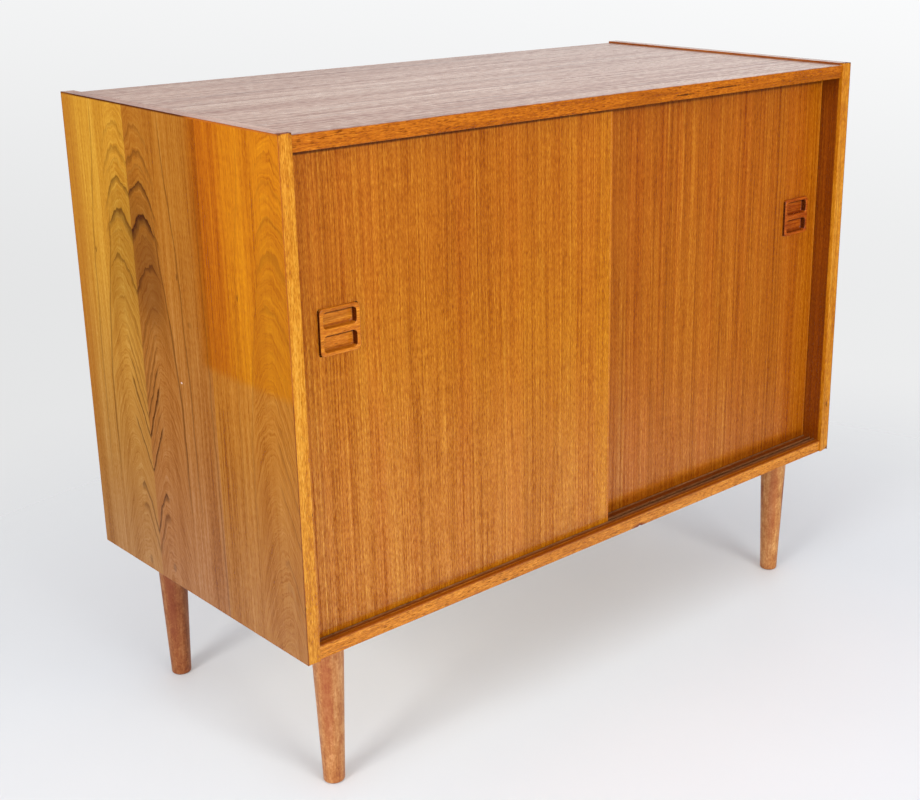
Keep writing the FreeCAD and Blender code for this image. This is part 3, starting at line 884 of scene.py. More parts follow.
    def brown(self, graph: Graph, figure: Socket, down: Socket, inside: Socket) -> Socket:
        """Return the darkness of the figure together with the brown ground of its arches.

        Args:
            graph: The material's tree.
            figure: Darkness of the figure's lines.
            down: Distance from the top edge.
            inside: How far the place lies inside the arches, from 0 to 1.

        Returns:
            The darkness, from 0 to 1.
        """
        ground, lines = 0.3, 0.95
        begun, ended = graph.rise(down, *self.brown_begins), graph.rise(down, *self.brown_ends)
        shaded = graph.times(graph.less(begun, ended), graph.times(inside, ground))
        return graph.math("MAXIMUM", graph.times(figure, lines), shaded)

    def drawn(self, graph: Graph, points: tuple[tuple[float, float], ...], down: Socket) -> Socket:
        """Return the distance from the joint of a line drawn down the side.

        Args:
            graph: The material's tree.
            points: Distances down and out.
            down: Distance from the top edge.

        Returns:
            The distance out.
        """
        shares = [(below / self.tall, out / LEAF_WIDE) for below, out in points]
        line = graph.curve(graph.math("DIVIDE", down, self.tall), shares)
        return graph.times(line, LEAF_WIDE)

    def patch(self, graph: Graph, from_back: Socket, down: Socket) -> Socket:
        """Return where the veneer has kept its first colour, behind what once stood there.

        Args:
            graph: The material's tree.
            from_back: Distance from the back edge.
            down: Distance from the top edge.

        Returns:
            How much of the first colour is left.
        """
        backward, forward = self.patch_side
        upward, downward = self.patch_foot
        beside = graph.rise(from_back, self.patch_back - backward, self.patch_back + forward)
        above = graph.inverse(graph.rise(down, self.patch_low - upward, self.patch_low + downward))
        return graph.times(graph.times(beside, above), self.patch_share)

    def crest_height(self, graph: Graph, out: Socket, down: Socket, place: Socket,
                     sway: Socket) -> Socket:
        """Return how far below the top edge the arch through a place has its crest.

        Args:
            graph: The material's tree.
            out: Distance from the joint at the arches.
            down: Distance from the top edge.
            place: Place in the veneer.
            sway: Soft noise that bends the arches.

        Returns:
            The crest's distance from the top edge.
        """
        crown, outer_curve, sway_high, ripple_high = 5.0, 0.032, 9.0, 6.0
        steepens, steepest, ripple_size = (120, 420), 2.6, (7, 14)
        off = graph.less(out, self.drawn(graph, CREST_LINE, down))
        inner = graph.math("MAXIMUM", graph.times(off, -1.0), 0.0)
        outer = graph.math("MAXIMUM", off, 0.0)
        steep = graph.scaled(graph.rise(down, *steepens), 1.0, steepest)
        rounded = graph.math("SQRT", graph.math("MULTIPLY_ADD", inner, inner, crown ** 2))
        drop = graph.times(graph.less(rounded, crown), steep)
        drop = graph.math("MULTIPLY_ADD", graph.times(outer, outer), outer_curve, drop)
        narrow = graph.noise(graph.stretched(place, Axis.Z, *ripple_size))
        crest = graph.less(down, drop)
        crest = graph.plus(crest, graph.scaled(sway, -sway_high, sway_high))
        return graph.plus(crest, graph.scaled(narrow, -ripple_high, ripple_high))

    def figure(self, graph: Graph, crest: Socket, out: Socket, down: Socket,
               sway: Socket) -> Socket:
        """Return the darkness of the arches and of the lines that run down their flanks.

        Args:
            graph: The material's tree.
            crest: Height of the arch through the place.
            out: Distance from the joint at the arches.
            down: Distance from the top edge.
            sway: Soft noise that bends the lines.

        Returns:
            The darkness, from 0 to 1.
        """
        rows = ((0.0, 210.0, UPPER_RINGS), (200.0, 300.0, LOWER_RINGS))
        shifts, middle, closes, closeness = (150, 330), (22, 21), (200, 310), (1.0, 3.4)
        ring_fade = (18, 42)
        upper, lower = (self.rings(graph, crest, *row) for row in rows)
        shadow = graph.math("MAXIMUM", upper, lower)
        beyond = graph.less(out, graph.scaled(graph.rise(down, *shifts), *middle))
        spread = graph.scaled(graph.rise(down, *closes), *closeness)
        reach = graph.inverse(graph.rise(graph.times(beyond, spread), *ring_fade))
        shadow = graph.times(shadow, reach)
        for flank in FLANKS:
            dark = self.flank_line(graph, flank, out, down, sway)
            shadow = graph.math("MAXIMUM", shadow, dark)
        return shadow

    def rings(self, graph: Graph, crest: Socket, start: float, span: float,
              rings: tuple[Ring, ...]) -> Socket:
        """Return the darkness of a row of growth rings.

        Args:
            graph: The material's tree.
            crest: Height of the arch through the place.
            start: Distance from the top at which the row begins.
            span: Length of the row.
            rings: The rings.

        Returns:
            The darkness, from 0 to 1.
        """
        sharp_side = 2.5
        stops = [(0.0, 0.0)]
        for ring in rings:
            stops.append(((ring.height - sharp_side - start) / span, 0.0))
            stops.append(((ring.height - start) / span, ring.strength))
            stops.append(((ring.height + ring.fade - start) / span, 0.0))
        place = graph.math("DIVIDE", graph.less(crest, start), span)
        return graph.ramp(place, stops)

    def flank_line(self, graph: Graph, flank: Flank, out: Socket, down: Socket,
                   sway: Socket) -> Socket:
        """Return the darkness of one line beside the figure.

        Args:
            graph: The material's tree.
            flank: The line.
            out: Distance from the joint at the arches.
            down: Distance from the top edge.
            sway: Soft noise that bends the line.

        Returns:
            The darkness, from 0 to 1.
        """
        sway_wide, soft_inside, fade_in, fade_out = 3.0, 3.5, 30, 60
        line = graph.plus(self.drawn(graph, flank.points, down),
                          graph.scaled(sway, -sway_wide, sway_wide))
        gap = graph.less(out, line)
        inner = graph.rise(gap, -flank.width * soft_inside, 0.0)
        outer = graph.inverse(graph.rise(gap, 0.0, flank.width))
        begun = graph.rise(down, flank.first - fade_in, flank.first + fade_in)
        ended = graph.inverse(graph.rise(down, flank.last - fade_out, flank.last + fade_out))
        along = graph.times(graph.times(begun, ended), flank.strength)
        return graph.times(graph.times(inner, outer), along)


@dataclass(frozen=True)
class Metal:
    """A bright metal with fine tool marks.

    Attributes:
        name: Name of the finish.
        colour: Colour of the clean metal.
        dull: Colour where it has gone dull.
        roughness: Lowest and highest roughness.
        clouds: Fineness of the dull patches.
        cloud_rise: Noise levels between which a patch turns dull.
        marks: Fineness of the tool marks.
        marks_deep: Depth of the tool marks, in metres.
    """

    name: str
    colour: Colour
    dull: Colour
    roughness: tuple[float, float] = (0.25, 0.5)
    clouds: float = 0.5
    cloud_rise: tuple[float, float] = (0.4, 0.7)
    marks: float = 6.0
    marks_deep: float = 0.02 * MM

    def material(self) -> bpy.types.Material:
        """Make the finish.

        Returns:
            The finished material.
        """
        graph = Graph(bpy.data.materials.new(self.name))
        place = graph.millimetres()
        cloud = graph.noise(graph.zoomed(place, self.clouds), detail=3.0)
        marks = graph.noise(graph.zoomed(place, self.marks))
        colour = graph.mix(graph.rise(cloud, *self.cloud_rise), self.colour, self.dull)
        rough = graph.scaled(cloud, *self.roughness)
        return graph.surface(colour, rough, graph.bump(marks, self.marks_deep), Metallic=1.0)


TEAK_PORE = paint(104, 46, 2)
TEAK_END = paint(84, 34, 10)
WORN_TEAK = paint(206, 140, 78)
WORN_INNER = paint(150, 84, 30)
LEG_DARK = paint(96, 46, 24)
PALE_BEECH = paint(216, 180, 138)

# Half sizes of a mark that runs past both ends of a piece, or through a door, in millimetres
WHOLE_LENGTH = 3000.0
THROUGH_DOOR = 60.0


def paints(*screens: tuple[float, float, float]) -> tuple[Colour, ...]:
    """Turn colours as a screen shows them, darkest first, into the shader's own scale."""
    return tuple(paint(*screen) for screen in screens)


class Finishes:
    """Every finish of the cabinet, made once and shared by its pieces."""

    def __init__(self) -> None:
        """Choose every finish; its material is made when a piece asks for it."""
        self.door_left, self.door_right, self.door_edge = self.doors()
        self.strip_upright, self.strip_level = self.light_strips()
        self.strip_top, self.strip_rim = self.dark_strips()
        self.inner_upright, self.inner_level, self.under, self.top = self.boards()
        self.side_left, self.side_right = self.sides()
        self.leg = self.legs()
        self.handle_left, self.handle_right = self.handles()
        self.track, self.back, self.dowel = self.hidden_woods()
        self.steel = Metal("screw_steel", *paints((176, 176, 172), (132, 130, 124)))
        self.brass = Metal("nut_brass", *paints((206, 170, 96), (150, 116, 60)))
        self.made: dict[str, bpy.types.Material] = {}

    def doors(self) -> tuple[Wood, Wood, Wood]:
        """Choose the finishes of the doors.

        Returns:
            Those of the left door, the right door and their upright edges.
        """
        front = paints((131, 62, 2), (154, 80, 3), (170, 94, 5), (182, 106, 9), (200, 127, 20))
        rear = paints((124, 55, 2), (148, 73, 3), (165, 87, 5), (178, 99, 9), (196, 120, 20))
        edge = paints((150, 78, 4), (174, 96, 8), (190, 112, 14), (204, 130, 26))
        # Painted shadow: a dark line on the left door and its edge strips just under the top's
        # front strip, where that strip shades them
        painted_top_shadow = Mark((0, -190, 714.5), (WHOLE_LENGTH, THROUGH_DOOR, 3.4), 0.75, ragged=0.1)
        front_marks = (
            # Painted light: the lower half of the left door is paler, standing in for light bounced
            # up from the floor
            tint((-212, -202, 300), (900, THROUGH_DOOR, 300), 1.0, (1.08, 1.2, 1.0)),
            tint((-1, -202, 460), (15, THROUGH_DOOR, WHOLE_LENGTH), 1.0, (1.1, 1.22, 1.1)),
            painted_top_shadow,
            # Painted contact shade: the left door darkens towards its foot above the track
            tint((0, -202, 198), (WHOLE_LENGTH, THROUGH_DOOR, 22), 0.8, (0.84, 0.78, 0.56)),
        )
        rear_marks = (
            # Painted light: the lower middle of the right door is paler, standing in for light
            # bounced up from the floor
            tint((100, -184, 350), (400, THROUGH_DOOR, 260), 1.0, (1.02, 1.09, 1.4)),
            # Painted shadow: a dark line on the right door just under the top's front strip
            Mark((0, -180, 712), (WHOLE_LENGTH, THROUGH_DOOR, 5.4), 0.6, ragged=0.1),
            # Painted contact shade: the right door darkens towards its foot above the track
            tint((0, -184, 200), (WHOLE_LENGTH, THROUGH_DOOR, 18), 0.9, (0.66, 0.56, 0.36)),
        )
        left = Wood("door_teak_left", Axis.Z, front, TEAK_PORE, TEAK_END, paint(216, 150, 84), 3.0,
                    lines=0.1, blush=0.35, level=0.52, sheen=1.4, marks=front_marks)
        right = Wood("door_teak_right", Axis.Z, rear, TEAK_PORE, TEAK_END, WORN_TEAK, 11.0,
                     REAR_DOOR_STREAKS, lines=0.12, blush=0.4, level=0.52, sheen=1.4,
                     marks=rear_marks)
        edges = Wood("door_edge_teak", Axis.Z, edge, TEAK_PORE, TEAK_END, WORN_TEAK, 12.0,
                     wear=0.3, marks=(painted_top_shadow,))
        return left, right, edges

    def light_strips(self) -> tuple[Wood, Wood]:
        """Choose the finishes of the pale strips.

        Returns:
            That of the sides' upright ones and that of the bottom's.
        """
        line, dark_end = paints((146, 68, 16), (84, 34, 14))
        upright_marks = (
            Mark((-450, -216.5, 461), (1.5, 2, 900), 0.85, line),
            Mark((450, -216.5, 461), (1.3, 2, 900), 0.7, line),
            Mark((-450, -216.5, 250.9), (2.2, 3, 3), 0.8),
            Mark((-434, -216.5, 351.6), (1.6, 3, 2.4), 0.8),
            Mark((442, -216.5, 256.7), (2, 3, 5), 0.7),
            Mark((450, -216.5, 187), (5, 5, 6), 0.8),
            Mark((-449, -215, 736), (5, 9, 2.2), 0.8, dark_end),
            Mark((-434, -215, 736), (4, 9, 2.2), 0.8, dark_end),
            Mark((-442, -213, 737), (9, 12, 1.9), 0.8, paint(150, 80, 46)),
            tint((434, -211, 461), (0.7, 5.5, WHOLE_LENGTH), 0.9, (0.82, 0.74, 0.4)),
            Mark((449, -216.5, 736), (5, 7, 2.6), 0.7, paint(84, 54, 38)),
        )
        level_marks = (
            Mark((54, -214, 186), (15, 4, 4.6), 0.9, paint(104, 30, 10), 0.5),
            # Painted shade: a dark line along the upper arris of the bottom's front strip
            Mark((0, -212.5, 202.5), (WHOLE_LENGTH, 4.5, 2.0), 0.8, paint(134, 58, 4), 0.1),
            Mark((-174, -214, 190), (5, 3, 1.6), 0.6, ragged=0.5),
            tint((10, -214, 194), (270, 6, 40), 0.9, (0.86, 0.82, 0.8), 0.2),
        )
        upright = paints((158, 88, 8), (186, 115, 17), (204, 137, 32), (216, 154, 52))
        level = paints((158, 86, 14), (188, 112, 24), (206, 130, 34), (224, 152, 56))
        return (
            Wood("edge_teak_upright", Axis.Z, upright, TEAK_PORE, TEAK_END, paint(150, 80, 30), 5.0,
                 STRIP_STREAKS, level=0.35, wear=0.35, marks=upright_marks),
            Wood("edge_teak_level", Axis.X, level, TEAK_PORE, TEAK_END, paint(226, 170, 110), 8.0,
                 STRIP_STREAKS, pores=0.8, level=0.3, wear=0.35, marks=level_marks),
        )

    def dark_strips(self) -> tuple[Wood, Wood]:
        """Choose the finishes of the dark strips.

        Returns:
            That of the one before the top and that of the sides' top edges.
        """
        front_marks = (
            Mark((120, -214, 722), (18, 3, 1.3), 0.8, ragged=0.8),
            Mark((195, -214, 725), (34, 3, 1.2), 0.75, ragged=0.9),
        )
        rim_marks = (
            Mark((-450, 320, 736), (3.4, 400, 4), 0.8, paint(84, 38, 12), 0.2),
            # Painted highlight: a pale patch on the front part of the left rim's top face
            Mark((-436, -120, 737), (14, 90, 3), 0.5, paint(206, 160, 130), 0.5),
        )
        front = paints((138, 68, 3), (166, 89, 6), (184, 103, 10), (202, 124, 24))
        rim = paints((136, 64, 14), (160, 84, 26), (182, 108, 44))
        return (
            Wood("edge_teak_top", Axis.X, front, TEAK_PORE, TEAK_END, paint(206, 130, 60), 6.0,
                 STRIP_STREAKS, pores=0.8, level=0.35, wear=0.35, marks=front_marks),
            Wood("rim_teak", Axis.Y, rim, TEAK_PORE, TEAK_END, paint(100, 46, 16), 9.0,
                 STRIP_STREAKS, roughness=(0.24, 0.4), level=0.5, wear=0.3, sheen=0.8,
                 marks=rim_marks),
        )

    def boards(self) -> tuple[Wood, Wood, Wood, Wood]:
        """Choose the finishes of the boards.

        Returns:
            Those of the upright inner boards, the level ones, the bottom and the top.
        """
        inner = paints((96, 38, 1), (116, 50, 2), (132, 62, 4), (148, 76, 8))
        raw = paints((176, 152, 124), (194, 172, 146), (208, 188, 164), (220, 202, 180))
        top = paints((132, 62, 18), (152, 86, 42), (172, 116, 76), (192, 146, 110))
        return (
            Wood("inner_teak_upright", Axis.Z, inner, TEAK_PORE, TEAK_END, WORN_INNER, 13.0),
            Wood("inner_teak_level", Axis.X, inner, TEAK_PORE, TEAK_END, WORN_INNER, 15.0),
            Wood("bottom_board", Axis.X, inner, TEAK_PORE, paint(130, 88, 50), WORN_INNER, 19.0,
                 roughness=(0.3, 0.45), level=0.25, beneath=raw),
            Wood("top_teak", Axis.X, top, paint(96, 58, 40), TEAK_END, paint(150, 90, 50), 17.0,
                 TOP_STREAKS, pores=0.6, roughness=(0.24, 0.4), level=0.5, sheen=0.8),
        )

    def sides(self) -> tuple[FiguredVeneer, FiguredVeneer]:
        """Choose the finishes of the sides' outer faces.

        Returns:
            That of the left side and that of the right side.
        """
        tones = paints((140, 82, 12), (172, 112, 22), (190, 132, 32), (202, 147, 42),
                       (216, 164, 58))
        pore, end, worn = paints((76, 38, 10), (84, 38, 12), (120, 62, 22))
        flecks = [Mark((-450, y, 563), (5, 1.4, 4.5), 0.6) for y in (167.5, -9.5, -127.5)]
        flecks += [Mark((-450, y, z), (5, 4, 7), 0.35) for y, z in ((104, 198.5), (49, 206))]
        flecks += [
            Mark((-450, -28.5, 514), (5, 5, 4), 0.2),
            Mark((-450, 222, 580), (5, 44, 330), 0.4, paint(160, 92, 24), 0.3),
            Mark((-450, 48, 548), (5, 32, 62), 0.35, paint(104, 54, 18), 0.5),
            Mark((-450, -2, 443.5), (5, 2, 1.2), 0.9, paint(228, 208, 188), 0.1),
        ]
        return (
            FiguredVeneer("side_teak_left", Axis.Z, tones, pore, end, worn, 21.0, SIDE_STREAKS,
                          pores=0.3, level=0.32, sheen=1.2, marks=tuple(flecks)),
            FiguredVeneer("side_teak_right", Axis.Z, tones, pore, end, worn, 29.0, SIDE_STREAKS,
                          pores=0.3, level=0.32, sheen=1.2, patch_share=0.0),
        )

    def legs(self) -> Wood:
        """Choose the finish of the legs.

        Returns:
            The finish, with a reddish stain on each leg, painted shade and a painted highlight on
            the rear-left leg, and painted light and a dark red stain on the front-right one.
        """
        tones = paints((142, 76, 36), (168, 105, 54), (184, 127, 73), (202, 150, 98))
        axes = {}
        for name in LEG_PLACES:
            low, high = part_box(f"leg_{name}")
            axes[name] = (low + high) / 2 / MM
        marks = [Mark((axis.x - 11, axis.y - 11, 115), (7, 7, 90), 0.5, paint(150, 70, 36), 0.9)
                 for axis in axes.values()]
        shaded, lit = axes["rear_left"], axes["front_right"]
        marks += [
            # Painted shade over the rear-left leg, a painted highlight down its lighter band and a
            # darker patch on its front-right side
            tint((shaded.x, shaded.y, 120), (60, 60, 300), 0.85, (0.6, 0.45, 0.39), 0.9),
            tint((shaded.x - 12, shaded.y + 6, 110), (10, 10, 200), 0.9, (1.15, 1.35, 1.3), 0.9),
            tint((shaded.x + 8, shaded.y - 13, 100), (9, 9, 200), 0.8, (0.78, 0.74, 0.72), 0.9),
            # Painted light down the front of the front-right leg, then a dark red stain on it
            tint((lit.x - 2, lit.y - 17, 130), (15, 12, 260), 0.9, (1.16, 1.25, 1.12), 0.3),
            Mark((lit.x + 9, lit.y - 13.5, 118), (8, 8, 48), 0.85, paint(116, 44, 24), 0.4),
        ]
        return Wood("leg_beech", Axis.Z, tones, LEG_DARK, LEG_DARK, paint(206, 150, 112), 33.0,
                    LEG_STREAKS, pores=0.35, lines=0.1, roughness=(0.38, 0.5), level=0.3,
                    blush=0.5, marks=tuple(marks))

    def handles(self) -> tuple[Wood, Wood]:
        """Choose the finishes of the handles.

        Returns:
            That of the left handle and that of the redder right one.
        """
        golden = paints((156, 76, 10), (186, 104, 18), (206, 126, 28), (222, 148, 42))
        red = paints((120, 44, 4), (146, 62, 8), (172, 84, 14), (196, 108, 24))
        return (
            Wood("handle_teak_left", Axis.X, golden, TEAK_PORE, paint(70, 22, 4),
                 paint(232, 170, 90), 37.0, HANDLE_STREAKS, level=0.35, wear=0.4,
                 marks=self.pocket_painted_shade(-381.85, -198)),
            Wood("handle_teak_right", Axis.X, red, TEAK_PORE, paint(54, 14, 4),
                 paint(214, 140, 100), 41.0, HANDLE_STREAKS, level=0.45, wear=0.7,
                 marks=self.pocket_painted_shade(385.85, -180.5)),
        )

    def pocket_painted_shade(self, across: float, deep: float) -> tuple[Mark, ...]:
        """Return the painted shade inside a handle's two pockets.

        Args:
            across: Place of the handle's middle along X, in millimetres.
            deep: Place of the pockets' floor along Y, in millimetres.

        Returns:
            A thin painted shadow under each upper wall and soft painted shade along each lower
            wall.
        """
        pockets = ((512.0, 529.6), (536.4, 554.0))
        marks = []
        for low, high in pockets:
            # Painted shadow below each pocket's upper wall, and painted shade along its lower wall
            marks.append(Mark((across, deep, high - 2.6), (40, 6, 1.9), 0.7, ragged=0.1))
            marks.append(Mark((across, deep, low + 1.0), (40, 6, 2.2), 0.4, paint(110, 36, 2), 0.1))
        return tuple(marks)

    def hidden_woods(self) -> tuple[Wood, Wood, Wood]:
        """Choose the finishes of the hidden woods.

        Returns:
            Those of the tracks, the back and the dowels.
        """
        track = paints((96, 54, 24), (120, 74, 38), (146, 96, 56))
        ply = paints((150, 104, 62), (172, 126, 80), (190, 146, 98), (204, 162, 116))
        beech = (*paints((176, 134, 92), (200, 160, 116)), PALE_BEECH)
        dark = paint(44, 20, 8)
        return (
            Wood("track_brown", Axis.X, track, dark, dark, paint(186, 138, 92), 43.0,
                 STRIP_STREAKS, roughness=(0.45, 0.6), level=0.15, wear=0.9),
            Wood("back_ply", Axis.Z, ply, paint(110, 70, 40), paint(120, 84, 50),
                 paint(206, 170, 126), 47.0, roughness=(0.5, 0.7), level=0.3),
            Wood("dowel_beech", Axis.X, beech, paint(140, 96, 60), paint(150, 106, 70),
                 PALE_BEECH, 53.0, roughness=(0.5, 0.7), level=0.3),
        )

    def material(self, finish: Wood | Metal) -> bpy.types.Material:
        """Return the material of a finish, made the first time that it is asked for.

        Args:
            finish: The finish.

        Returns:
            Its material.
        """
        if finish.name not in self.made:
            self.made[finish.name] = finish.material()
        return self.made[finish.name]


# Mesh builders

# Radius where two pieces were sanded flush, and the least radius of any corner
FLUSH = 0.00005
LEAST_RADIUS = 0.00003


@dataclass(frozen=True)
class Dent:
    """A small knock in an arris.

    Attributes:
        place: Where it lies.
        radius: How far it reaches.
        push: How far and which way it presses the wood in.
    """

    place: tuple[float, float, float]
    radius: float
    push: tuple[float, float, float]

    def moved(self, point: Vector) -> Vector:
        """Press a point in, if the knock reaches it.

        Args:
            point: The point.

        Returns:
            Where it ends up.
        """
        share = (point - Vector(self.place)).length / self.radius
        if share >= 1:
            return point
        return point + Vector(self.push) * (1 - share * share) ** 2


def eased(corners: list[tuple[float, float]], radii: list[float],
          steps: int = 3) -> list[tuple[float, float]]:
    """Round the corners of an outline.

    Args:
        corners: The outline's corners in order.
        radii: A radius for each corner.
        steps: Parts of each arc.

    Returns:
        The rounded outline, with the same number of points for any radii.
    """
    points = []
    for number, corner in enumerate(corners):
        here = Vector(corner)
        before = (Vector(corners[number - 1]) - here).normalized()
        after = (Vector(corners[(number + 1) % len(corners)]) - here).normalized()
        reach = radii[number] / math.tan(before.angle(after) / 2)
        start, end = here + before * reach, here + after * reach
        away = radii[number] / math.sin(before.angle(after) / 2)
        middle = here + (before + after).normalized() * away
        first, last = start - middle, end - middle
        for step in range(steps + 1):
            spoke = first.slerp(last, step / steps).normalized() * radii[number]
            points.append(tuple(middle + spoke))
    return points


def finished(name: str, mesh: bmesh.types.BMesh, sharp: float = 40.0) -> bpy.types.Object:
    """Turn a built mesh into an object with clean normals.

    Args:
        name: Name of the piece.
        mesh: The mesh, which is freed.
        sharp: Angle in degrees past which an edge stays sharp.

    Returns:
        The object, linked to the scene.
    """
    bmesh.ops.recalc_face_normals(mesh, faces=mesh.faces)
    data = bpy.data.meshes.new(name)
    mesh.to_mesh(data)
    mesh.free()
    data.polygons.foreach_set("use_smooth", [True] * len(data.polygons))
    data.set_sharp_from_angle(angle=math.radians(sharp))
    piece = bpy.data.objects.new(name, data)
    bpy.context.scene.collection.objects.link(piece)
    piece.modifiers.new("weighted", "WEIGHTED_NORMAL").keep_sharp = True
    return piece


def skinned(mesh: bmesh.types.BMesh, rings: list[list[Vector]], first_cap: bool = True,
            last_cap: bool = True) -> list[list[bmesh.types.BMVert]]:
    """Skin a row of closed rings with quads.

    Args:
        mesh: The mesh that takes the faces.
        rings: Rings of the same number of points.
        first_cap: Whether the first ring is closed with a face.
        last_cap: Whether the last ring is closed with a face.

    Returns:
        The vertices of each ring.
    """
    rows = [[mesh.verts.new(point) for point in ring] for ring in rings]
    for row, following in zip(rows, rows[1:]):
        for number, vertex in enumerate(row):
            after = (number + 1) % len(row)
            mesh.faces.new((vertex, row[after], following[after], following[number]))
    if first_cap:
        mesh.faces.new(rows[0])
    if last_cap:
        mesh.faces.new(rows[-1])
    return rows


@dataclass
class Strip:
    """A straight solid with eased arrises and small knocks.

    Attributes:
        name: Name of the piece.
        low: Its lowest corner.
        high: Its highest corner.
        axis: Direction that it runs along.
        easing: Radius at each corner of its section: low low, high low, high high, low high.
        end_easing: Radius at the rims of its two ends.
        dents: Knocks in its arrises.
        pitch: Distance between its sections.
        uneven: How much the radii change along it, as a share.
        dent_parts: Sections on each side of the middle of a knock.
        ripples: How fast the radii change along it, from corner to corner and from strip to strip.
    """

    name: str
    low: Vector
    high: Vector
    axis: Axis
    easing: tuple[float, float, float, float]
    end_easing: float = 0.0002
    dents: list[Dent] = field(default_factory=list)
    pitch: float = 0.012
    uneven: float = 0.4
    dent_parts: int = 6
    ripples: tuple[float, float, float] = (28.0, 7.3, 5.0)

    def stations(self) -> list[float]:
        """Place its sections, closer together about the knocks.

        Returns:
            Their stations along its axis.
        """
        start, end = self.low[self.axis.value], self.high[self.axis.value]
        count = max(2, round((end - start) / self.pitch))
        places = {round(start + (end - start) * step / count, 6) for step in range(1, count)}
        for dent in self.dents:
            centre = dent.place[self.axis.value]
            for step in range(-self.dent_parts, self.dent_parts + 1):
                places.add(round(centre + dent.radius * step / self.dent_parts, 6))
        margin = self.end_easing * 1.5
        inside = [place for place in places if start + margin < place < end - margin]
        return sorted(inside)

    def ring(self, along: float, inset: float = 0.0) -> list[Vector]:
        """Return the section at one station.

        Args:
            along: The station.
            inset: How far the section is drawn in on all sides.

        Returns:
            The ring's points.
        """
        first, second = self.axis.across()
        left, right = self.low[first] + inset, self.high[first] - inset
        bottom, top = self.low[second] + inset, self.high[second] - inset
        corners = [(left, bottom), (right, bottom), (right, top), (left, top)]
        fast, by_corner, by_strip = self.ripples
        radii = []
        for number, radius in enumerate(self.easing):
            place = Vector((along * fast, number * by_corner, self.low.x * by_strip))
            radii.append(max(radius * (1 + self.uneven * noise.noise(place)), LEAST_RADIUS))
        points = [self.axis.point(across, up, along) for across, up in eased(corners, radii)]
        for dent in self.dents:
            points = [dent.moved(point) for point in points]
        return points

    def build(self) -> bpy.types.Object:
        """Build the piece.

        Returns:
            The piece.
        """
        start, end = self.low[self.axis.value], self.high[self.axis.value]
        ease = self.end_easing
        part = ease * 0.3
        rings = [self.ring(start, ease), self.ring(start + part, part), self.ring(start + ease)]
        rings += [self.ring(place) for place in self.stations()]
        rings += [self.ring(end - ease), self.ring(end - part, part), self.ring(end, ease)]
        mesh = bmesh.new()
        skinned(mesh, rings)
        return finished(self.name, mesh)


# Sub-assemblies


@dataclass
class Assembly:
    """What every sub-assembly can do: dress nodes, and put its pieces on their bodies.

    Attributes:
        finishes: The cabinet's finishes.
        body: Body that its pieces ride on.
    """

    finishes: Finishes
    body: str = "cabinet"

    def dress(self, node: str, finish: Wood | Metal) -> None:
        """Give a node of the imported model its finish.

        Args:
            node: Name of the node.
            finish: The finish.
        """
        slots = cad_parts[node].data.materials
        slots.clear()
        slots.append(self.finishes.material(finish))
        LOG.info("dressed %s in %s", node, finish.name)

    def soften(self, node: str, width: float) -> None:
        """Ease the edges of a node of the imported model.

        Args:
            node: Name of the node.
            width: Width of the easing.
        """
        weld_within, sharp = 1e-6, 50
        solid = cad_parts[node]
        solid.modifiers.new("weld", "WELD").merge_threshold = weld_within
        bevel = solid.modifiers.new("ease", "BEVEL")
        bevel.width = width
        bevel.segments = 2
        bevel.limit_method = "ANGLE"
        bevel.angle_limit = math.radians(sharp)

    def place(self, piece: bpy.types.Object, finish: Wood | Metal, slot: str,
              *nodes: str) -> bpy.types.Object:
        """Finish a piece, put it on its body and let it stand for its nodes.

        Args:
            piece: The piece.
            finish: Its finish.
            slot: The record's material slot; not used.
            nodes: Nodes that it replaces.

        Returns:
            The piece.
        """
        piece.data.materials.append(self.finishes.material(finish))
        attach(piece, self.body)
        if nodes:
            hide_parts(*nodes)
        LOG.info("built %s: %d faces in %s", piece.name, len(piece.data.polygons), finish.name)
        return piece

    def lay(self, node: str, axis: Axis, easing: tuple[float, float, float, float], finish: Wood,
            slot: str, dents: list[Dent] | None = None,
            end_easing: float = 0.0002) -> bpy.types.Object:
        """Build a strip in the space of a node and let it stand for it.

        Args:
            node: Name of the node.
            axis: Direction that the strip runs along.
            easing: Radius at each corner of its section.
            finish: Its finish.
            slot: The record's material slot.
            dents: Knocks in its arrises.
            end_easing: Radius at the rims of its ends.

        Returns:
            The piece.
        """
        low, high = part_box(node)
        strip = Strip(node + "_eased", low, high, axis, easing, end_easing, dents or [])
        return self.place(strip.build(), finish, slot, node)


@dataclass
class SidePanel(Assembly):
    """One side of the carcass: core, outer veneer, front strip and top strip.

    Attributes:
        side: Which side it is.
        arris: Radius of the arrises that show.
        veneer_arris: Radius of the veneer's outer edges.
        veneer_end: Radius at the veneer's lower and upper rims.
        knocks: Knocks of the front strip.
    """

    side: Side = Side.LEFT
    arris: float = 0.0007
    veneer_arris: float = 0.0002
    veneer_end: float = 0.0001
    knocks: list[Dent] = field(default_factory=list)

    def build(self) -> None:
        """Build and dress the side."""
        name = self.side.label()
        left = self.side is Side.LEFT
        finishes = self.finishes
        self.dress(f"{name}_side", finishes.inner_upright)
        outer = (self.veneer_arris, FLUSH) if left else (FLUSH, self.veneer_arris)
        self.lay(f"{name}_side_outer_veneer", Axis.Z, (*outer, *reversed(outer)),
                 finishes.side_left if left else finishes.side_right, "side_veneer",
                 end_easing=self.veneer_end)
        inner = (FLUSH, self.arris) if left else (self.arris, FLUSH)
        self.lay(f"{name}_side_front_strip", Axis.Z, (*inner, FLUSH, FLUSH),
                 finishes.strip_upright, "light_strip", self.knocks)
        self.lay(f"{name}_side_top_strip", Axis.Y, (FLUSH, FLUSH, *reversed(inner)),
                 finishes.strip_rim, "dark_strip")


